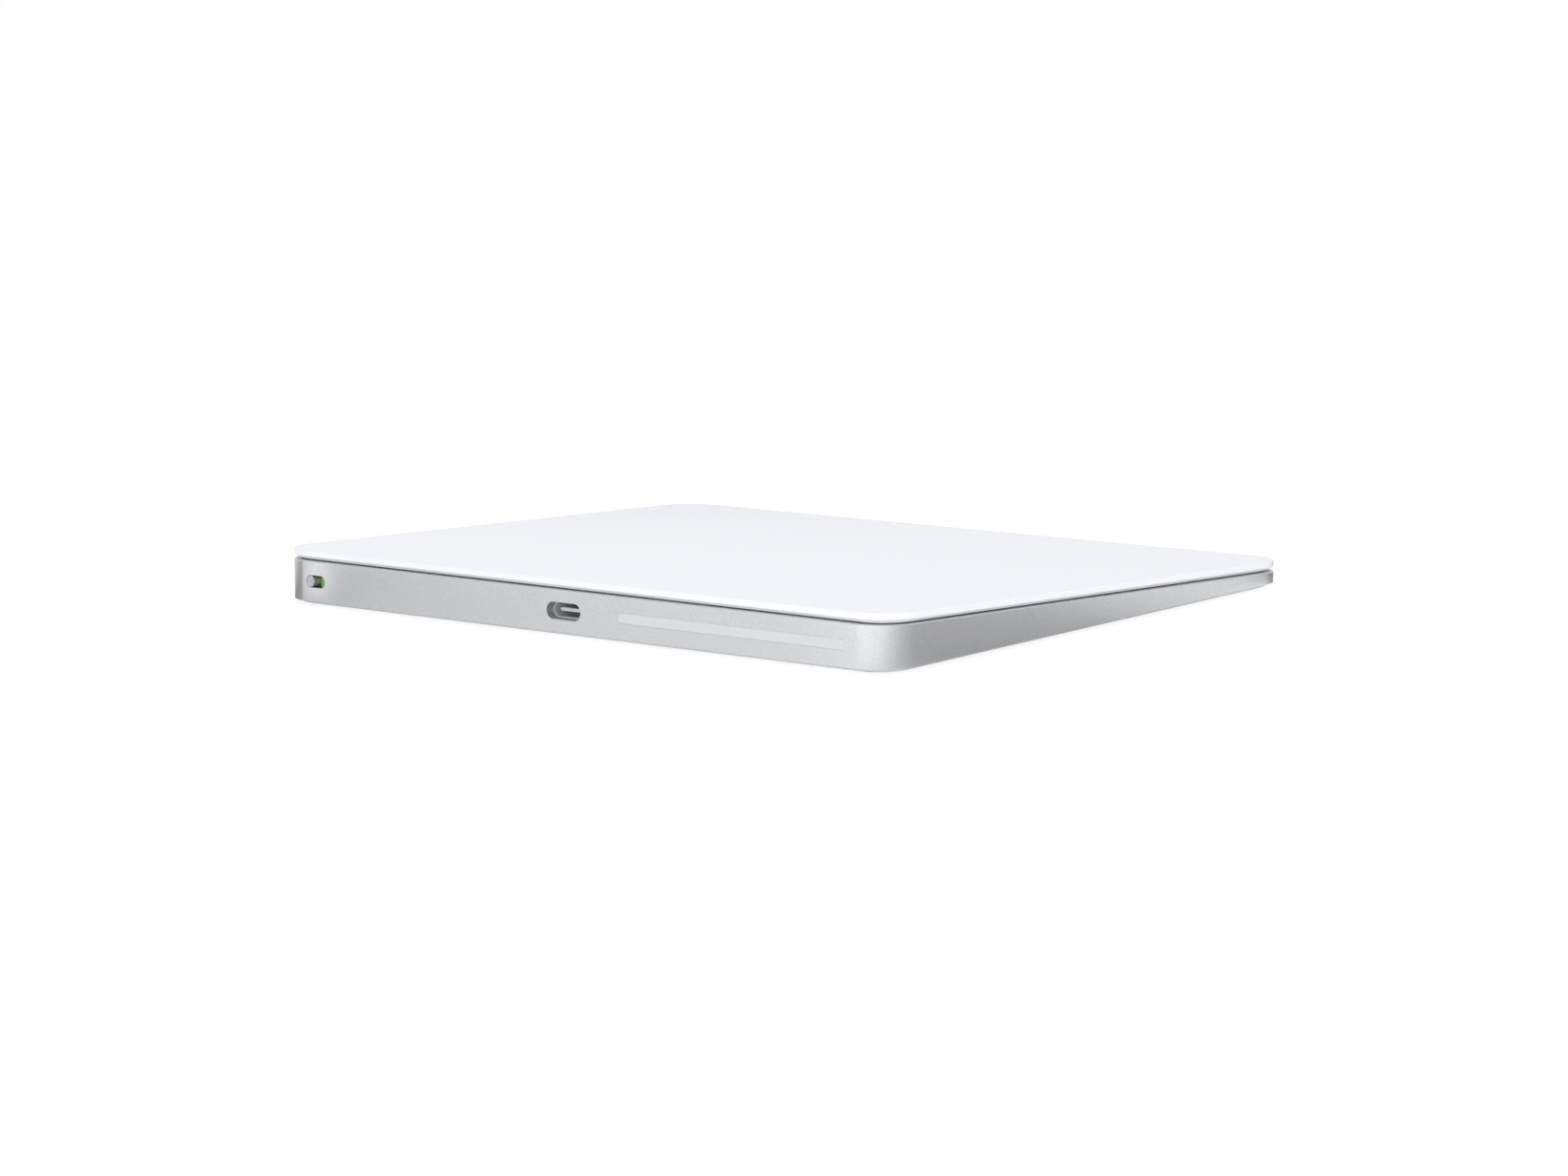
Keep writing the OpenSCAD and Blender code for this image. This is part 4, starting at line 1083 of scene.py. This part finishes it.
@dataclass
class Screws:
    """Pan-head screws with a cross recess, set where the CAD has its plain ones."""

    head_d: float = 2.6
    head_h: float = 0.45
    head_taper: float = 0.82
    head_share: float = 0.8
    shank_d: float = 1.4
    recess_len: float = 1.5
    recess_w: float = 0.34
    recess_deep: float = 0.26
    groups: tuple[str, ...] = (
        "flexure_screws",
        "actuator_screws",
        "board_screws",
        "port_screws",
        "switch_screw",
    )

    def tree(self, whole: float) -> NodeTree:
        """Builds the tree that cuts one screw and sets it on every point.

        Args:
            whole: Length of the screw with its head.

        Returns:
            The tree, whose points are the middles of the screws.
        """
        shank_mm = whole - self.head_h * self.head_share
        deep = 2 * self.recess_deep
        maker = NodeTree("cross_screws")
        points = maker.source.outputs["Geometry"]
        head_r = maker.size("Head Radius", self.head_d / 2 * MM)
        head_h = maker.size("Head Height", self.head_h * MM)
        shank_r = maker.size("Shank Radius", self.shank_d / 2 * MM)
        shank_len = maker.size("Shank Length", shank_mm * MM)
        head_up = maker.size("Head Place", metres(0.0, 0.0, whole / 2 - self.head_h))
        shank_down = maker.size("Shank Place", metres(0.0, 0.0, (shank_mm - whole) / 2))
        bar_x = maker.size("Recess Bar", metres(self.recess_len, self.recess_w, deep))
        bar_y = maker.size("Recess Cross Bar", metres(self.recess_w, self.recess_len, deep))
        recess_up = maker.size("Recess Place", metres(0.0, 0.0, whole / 2))
        rim = maker.calc("MULTIPLY", head_r, self.head_taper)
        head = maker.add(
            "MeshCone",
            {"Vertices": 32, "Radius Top": rim, "Radius Bottom": head_r, "Depth": head_h},
        )
        head = maker.add("Transform", {"Geometry": head, "Translation": head_up})
        bars = [maker.add("MeshCube", {"Size": bar}) for bar in (bar_x, bar_y)]
        bars = [maker.add("Transform", {"Geometry": b, "Translation": recess_up}) for b in bars]
        head = maker.add(
            "MeshBoolean", {"Mesh 1": head, "Mesh 2": bars}, operation="DIFFERENCE", solver="EXACT"
        )
        shank = maker.add(
            "MeshCylinder", {"Vertices": 24, "Radius": shank_r, "Depth": shank_len}
        )
        shank = maker.add("Transform", {"Geometry": shank, "Translation": shank_down})
        screw = maker.add(
            "MeshBoolean", {"Mesh 2": [head, shank]}, operation="UNION", solver="EXACT"
        )
        placed = maker.add("InstanceOnPoints", {"Points": points, "Instance": screw})
        maker.close(maker.on_slope(placed), Slot.SCREWS)
        return maker

    def build(self, nodes: dict[str, bpy.types.Object]) -> None:
        """Builds each group of screws in place of its CAD node.

        Args:
            nodes: Objects of the CAD nodes, by name.
        """
        for group in self.groups:
            boxes = loose_boxes(nodes[group])
            seed = point_cloud(group + "_seed", [(low + high) / 2 for low, high in boxes])
            maker = self.tree((boxes[0][1].z - boxes[0][0].z) / MM)
            seat(maker.run(group + "_cross", seed), Body.BASE, Slot.SCREWS, [group])


@dataclass
class DriveCoils:
    """Coils of the haptic drive, wound turn by turn round the teeth of its core."""

    wire_d: float = 0.42
    wire_sides: int = 6
    corner_r: float = 0.6

    def tree(self, wide: float, deep: float, tall: float) -> NodeTree:
        """Builds the tree that winds two layers and sets the coil on every point.

        Args:
            wide: Size of the coil across the drive.
            deep: Size along the tooth.
            tall: Height of the coil.

        Returns:
            The tree, whose points are the middles of the coils.
        """
        pitch = deep / int(deep / self.wire_d)
        maker = NodeTree("wound_coils")
        points = maker.source.outputs["Geometry"]
        turns = maker.size("Turns", int(deep / self.wire_d))
        step = maker.size("Turn Step", metres(0.0, pitch, 0.0))
        start = maker.size("Turn Start", metres(0.0, -(deep - pitch) / 2, 0.0))
        wire_r = maker.size("Wire Radius", self.wire_d / 2 * MM)
        wire = maker.add("CurvePrimitiveCircle", {"Resolution": self.wire_sides, "Radius": wire_r})
        bend = maker.size("Corner Radius", self.corner_r * MM)
        line = maker.add("MeshLine", {"Count": turns, "Start Location": start, "Offset": step})
        layers = []
        for layer, wires in (("Outer", 1), ("Inner", 3)):
            across = maker.size(layer + " Width", (wide - wires * self.wire_d) * MM)
            up = maker.size(layer + " Height", (tall - wires * self.wire_d) * MM)
            loop = maker.add("CurvePrimitiveQuadrilateral", {"Width": across, "Height": up})
            loop = maker.add(
                "FilletCurve", {"Curve": loop, "Count": 5, "Radius": bend}, mode="POLY"
            )
            loop = maker.add("CurveToMesh", {"Curve": loop, "Profile Curve": wire})
            loop = maker.add(
                "Transform", {"Geometry": loop, "Rotation": (math.radians(90), 0.0, 0.0)}
            )
            layers.append(maker.add("InstanceOnPoints", {"Points": line, "Instance": loop}))
        coil = maker.add("JoinGeometry", {"Geometry": layers})
        coil = maker.add("RealizeInstances", {"Geometry": coil})
        coil = maker.add("SetShadeSmooth", {"Geometry": coil})
        placed = maker.add("InstanceOnPoints", {"Points": points, "Instance": coil})
        maker.close(maker.on_slope(placed), Slot.COPPER)
        return maker

    def build(self, node: bpy.types.Object) -> None:
        """Builds the coils in place of their CAD node.

        Args:
            node: Object of the CAD node.
        """
        boxes = loose_boxes(node)
        low, high = boxes[0]
        seed = point_cloud("coil_seed", [(a + b) / 2 for a, b in boxes])
        coils = self.tree(*((high - low) / MM)).run("drive_windings", seed)
        seat(coils, Body.BASE, Slot.COPPER, ["actuator_coils"])


@dataclass
class GelPads:
    """Soft pads between the flexures and the pad, drawn in a little at both faces."""

    width: float = 8.0
    depth: float = 6.0
    corner_r: float = 1.0
    waist: float = 0.14
    corners: tuple[str, ...] = ("front_left", "front_right", "rear_left", "rear_right")

    def outline(self, offset: float) -> list[Point2]:
        """Outline of a pad, grown by an offset."""
        return rounded_rectangle(
            self.width + 2 * offset, self.depth + 2 * offset, self.corner_r + offset, 8
        )

    def build(self, nodes: dict[str, bpy.types.Object]) -> None:
        """Builds the four pads in place of their CAD nodes.

        Args:
            nodes: Objects of the CAD nodes, by name.
        """
        for corner in self.corners:
            name = "gel_pad_" + corner
            low, high = loose_boxes(nodes[name])[0]
            tall = (high.z - low.z) / MM
            swell = [math.sin(math.pi * k / 8) for k in range(9)]
            rings = [
                (self.outline(self.waist * (s - 1)), tall * (k / 8 - 0.5)) for k, s in enumerate(swell)
            ]
            place = SLOPE.matrix @ Matrix.Translation((low + high) / 2)
            seat(bake("gel_cushion_" + corner, loft(rings), place), Body.SUSPENSION, Slot.GEL, [name])


@dataclass(frozen=True)
class SoftBox:
    """Rectangular studio lamp with an even face, which the metal doesn't mirror."""

    name: str
    centre: Point3
    aim: Point3
    wide: float
    high: float
    glow: float

    def build(self) -> None:
        """Hangs the lamp; its glow is the brightness of its face, where 1 is white."""
        lamp = bpy.data.lights.new(self.name, "AREA")
        lamp.shape = "RECTANGLE"
        lamp.size, lamp.size_y = self.wide * MM, self.high * MM
        lamp.energy = self.glow * math.pi * lamp.size * lamp.size_y
        holder = put_in_scene(self.name, lamp)
        holder.location = Vector(self.centre) * MM
        way = (Vector(self.aim) - Vector(self.centre)).normalized()
        holder.rotation_mode = "QUATERNION"
        holder.rotation_quaternion = way.to_track_quat("-Z", "Y")
        holder.visible_glossy = holder.visible_camera = False


@dataclass(frozen=True)
class Card:
    """Graded board that the metal mirrors: bright and dark bands along its length."""

    name: str
    corner: Point3
    along: Point3
    across: Point3
    bands: tuple[float, ...]
    mark: str = "band"

    def mesh(self) -> bpy.types.Mesh:
        """Builds a strip with one pair of points at each band.

        Returns:
            The strip, with the bands' brightness as an attribute.
        """
        last = len(self.bands) - 1
        points = []
        for k in range(last + 1):
            foot = Vector(self.corner) + Vector(self.along) * (k / last)
            points += [foot * MM, (foot + Vector(self.across)) * MM]
        faces = [(2 * k, 2 * k + 2, 2 * k + 3, 2 * k + 1) for k in range(last)]
        strip = bpy.data.meshes.new(self.name)
        strip.from_pydata([tuple(p) for p in points], [], faces)
        shades = strip.attributes.new(self.mark, "FLOAT", "POINT").data
        for k, shade in enumerate(shades):
            shade.value = self.bands[k // 2]
        return strip

    def paint(self) -> bpy.types.Material:
        """Builds the cards' common paint, whose brightness follows the bands."""
        paint = bpy.data.materials.get("graded_card")
        if paint:
            return paint
        paint = bpy.data.materials.new("graded_card")
        tree = blank_tree(paint)
        shade = add_node(tree, "ShaderNodeAttribute", attribute_name=self.mark)
        glow = add_node(tree, "ShaderNodeEmission", {"Strength": shade.outputs["Fac"]})
        add_node(tree, "ShaderNodeOutputMaterial", {"Surface": glow.outputs["Emission"]})
        return paint

    def build(self) -> None:
        """Sets the board up, out of the camera's sight and without a shadow."""
        strip = self.mesh()
        strip.materials.append(self.paint())
        board = put_in_scene(self.name, strip)
        board.visible_camera = board.visible_diffuse = board.visible_shadow = False


@dataclass
class Studio:
    """White floor, soft lamps and the camera at the photograph's place."""

    floor_r: float = 40000.0
    floor_glow: float = 0.8
    floor_white: float = 1.075
    room_glow: float = 0.8
    lamps: tuple[SoftBox, ...] = (
        SoftBox("lamp_above", (0.0, 0.0, 700.0), (0.0, 0.0, 0.0), 900.0, 900.0, 0.9),
        SoftBox("lamp_camera", (-600.0, 630.0, 140.0), (0.0, 0.0, 5.0), 300.0, 150.0, 10.3),
    )
    # Each band is a strength of light, where 1 is white.
    cards: tuple[Card, ...] = (
        Card(
            "card_rear", (-120.0, 100.0, 0.0), (360.0, 0.0, 0.0), (0.0, 0.0, 70.0),
            (1.72, 1.4, 1.55, 1.62, 1.0, 1.18, 1.12, 1.1, 1.08, 0.97, 1.37, 1.08, 0.65, 0.6, 0.63, 0.72),
        ),
        Card(
            "card_side", (-140.0, 100.0, 0.0), (0.0, -320.0, 0.0), (0.0, 0.0, 24.0),
            (1.45, 0.96, 0.84, 1.04, 0.78, 0.5, 1.25, 2.15, 2.2, 2.2, 2.1, 1.6, 1.2, 1.1),
        ),
        Card(
            "card_beyond", (238.0, 37.0, 0.0), (0.0, 0.0, 60.0), (-292.0, -272.0, 0.0),
            (0.72, 0.8, 1.0, 1.12, 1.14, 1.1, 1.0),
        ),
        Card(
            "card_glint", (72.0, 68.0, 0.0), (24.0, 0.0, 0.0), (0.0, 0.0, 12.0),
            (0.0, 0.94, 2.71, 0.9, 0.0, 0.0, 0.0),
        ),
        Card(
            "mat_rear", (-84.0, 52.0, 0.1), (240.0, 0.0, 0.0), (0.0, 47.0, 0.0),
            (1.2, 1.03, 1.0, 0.95, 0.86, 0.78, 0.03, 0.71, 0.84),
        ),
        Card(
            "mat_side", (-139.0, 100.0, 0.1), (0.0, -200.0, 0.0), (66.0, 0.0, 0.0),
            (1.05, 1.2, 0.73, 0.42, 0.43, 0.42, 0.67, 0.89, 1.2, 0.07, 0.21),
        ),
        Card(
            "mat_far", (76.0, 51.0, 0.1), (0.0, -110.0, 0.0), (150.0, 0.0, 0.0),
            (1.2, 1.2, 1.13, 1.09, 1.07),
        ),
        Card(
            "mat_front", (-139.0, -141.0, 0.1), (180.0, 0.0, 0.0), (0.0, 86.0, 0.0),
            (0.6, 0.12, 0.0, 0.34, 0.58, 0.71, 0.77),
        ),
    )
    aim: Point3 = (-19.2913, 18.3502, 5.2)
    azimuth: float = 223.4859
    elevation: float = 9.079
    roll: float = -2.2616
    distance: float = 855.3
    focal_px: float = 4785.8
    sensor: float = 36.0

    def shown(self, tree: bpy.types.NodeTree) -> bpy.types.NodeSocket:
        """Tells rays that show the background from rays that carry its light.

        Args:
            tree: Node tree of the floor or the world.

        Returns:
            A socket of 1 for camera, mirror and clear rays, and 0 for the others.
        """
        path = add_node(tree, "ShaderNodeLightPath").outputs
        seen = add_node(
            tree, "ShaderNodeMath", {0: path["Is Camera Ray"], 1: path["Is Glossy Ray"]}, operation="ADD"
        )
        seen = add_node(
            tree,
            "ShaderNodeMath",
            {0: seen.outputs[0], 1: path["Is Transmission Ray"]},
            operation="ADD",
            use_clamp=True,
        )
        return seen.outputs[0]

    def build_floor(self) -> None:
        """Lays the floor, which looks white and still takes a shadow."""
        mesh = bpy.data.meshes.new("floor")
        edge = self.floor_r * MM
        corners = [(-edge, -edge, 0), (edge, -edge, 0), (edge, edge, 0), (-edge, edge, 0)]
        mesh.from_pydata(corners, [], [(0, 1, 2, 3)])
        floor = put_in_scene("floor", mesh)
        paint = bpy.data.materials.new("white_studio_floor")
        tree = blank_tree(paint)
        matt = add_node(tree, "ShaderNodeBsdfDiffuse", {"Color": linear("#F4F4F4")})
        glow = add_node(
            tree, "ShaderNodeEmission", {"Color": (1.0, 1.0, 1.0, 1.0), "Strength": self.floor_white}
        )
        share = add_node(
            tree, "ShaderNodeMath", {0: self.shown(tree), 1: self.floor_glow}, operation="MULTIPLY"
        )
        mixed = add_node(
            tree,
            "ShaderNodeMixShader",
            {0: share.outputs[0], 1: matt.outputs["BSDF"], 2: glow.outputs["Emission"]},
        )
        add_node(tree, "ShaderNodeOutputMaterial", {"Surface": mixed.outputs["Shader"]})
        mesh.materials.append(paint)

    def build_room(self) -> None:
        """Sets the world: white to look at, dimmer as a light."""
        world = bpy.data.worlds.new("white_room")
        bpy.context.scene.world = world
        tree = blank_tree(world)
        white = (1.0, 1.0, 1.0, 1.0)
        dim = add_node(tree, "ShaderNodeBackground", {"Color": white, "Strength": self.room_glow})
        look = add_node(tree, "ShaderNodeBackground", {"Color": white, "Strength": 1.0})
        mixed = add_node(
            tree,
            "ShaderNodeMixShader",
            {0: self.shown(tree), 1: dim.outputs["Background"], 2: look.outputs["Background"]},
        )
        add_node(tree, "ShaderNodeOutputWorld", {"Surface": mixed.outputs["Shader"]})

    def build_camera(self) -> None:
        """Sets the camera where the photograph was taken from."""
        turn, rise, roll = (math.radians(a) for a in (self.azimuth, self.elevation, self.roll))
        back = Vector((math.sin(turn) * math.cos(rise), -math.cos(turn) * math.cos(rise), math.sin(rise)))
        flat = Vector((math.cos(turn), math.sin(turn), 0.0))
        upright = back.cross(flat)
        right = flat * math.cos(roll) + upright * math.sin(roll)
        up = upright * math.cos(roll) - flat * math.sin(roll)
        lens = bpy.data.cameras.new("camera")
        lens.sensor_fit = "HORIZONTAL"
        lens.sensor_width = self.sensor
        lens.lens = self.focal_px * self.sensor / PHOTO_WIDTH
        lens.clip_start, lens.clip_end = 0.01, 200.0
        camera = put_in_scene("camera", lens)
        camera.matrix_world = Matrix.Translation((Vector(self.aim) + back * self.distance) * MM) @ (
            Matrix((right, up, back)).transposed().to_4x4()
        )
        bpy.context.scene.camera = camera

    def build(self) -> None:
        """Builds the whole studio."""
        self.build_floor()
        self.build_room()
        for part in (*self.lamps, *self.cards):
            part.build()
        self.build_camera()
        bpy.context.scene.view_settings.view_transform = "Standard"
        LOG.info("studio with %d lamps and %d cards", len(self.lamps), len(self.cards))


def dress_nodes(nodes: dict[str, bpy.types.Object]) -> None:
    """Gives every CAD node that still shows its finish.

    Args:
        nodes: Objects of the CAD nodes, by name.
    """
    for name, node in nodes.items():
        if node.hide_render:
            continue
        for holder in node.material_slots:
            slot = Slot(holder.material.name)
            holder.link = "OBJECT"
            holder.material = FINISHES[slot].material()
            LOG.info("%s keeps its CAD shape in %s", name, slot.value)


def main() -> None:
    """Builds the looks in order and reports each piece."""
    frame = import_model()
    nodes = frame["nodes"]
    TouchGlass().build()
    Tray().build(nodes["enclosure"])
    AntennaWindow().build()
    PowerSwitch().build()
    ChargingPort().build()
    Feet().build()
    Screws().build(nodes)
    DriveCoils().build(nodes["actuator_coils"])
    GelPads().build(nodes)
    dress_nodes(nodes)
    Studio().build()
    bpy.context.view_layer.update()


if __name__ == "__main__":
    logging.basicConfig(level=logging.INFO, format="%(name)s: %(message)s")
    main()
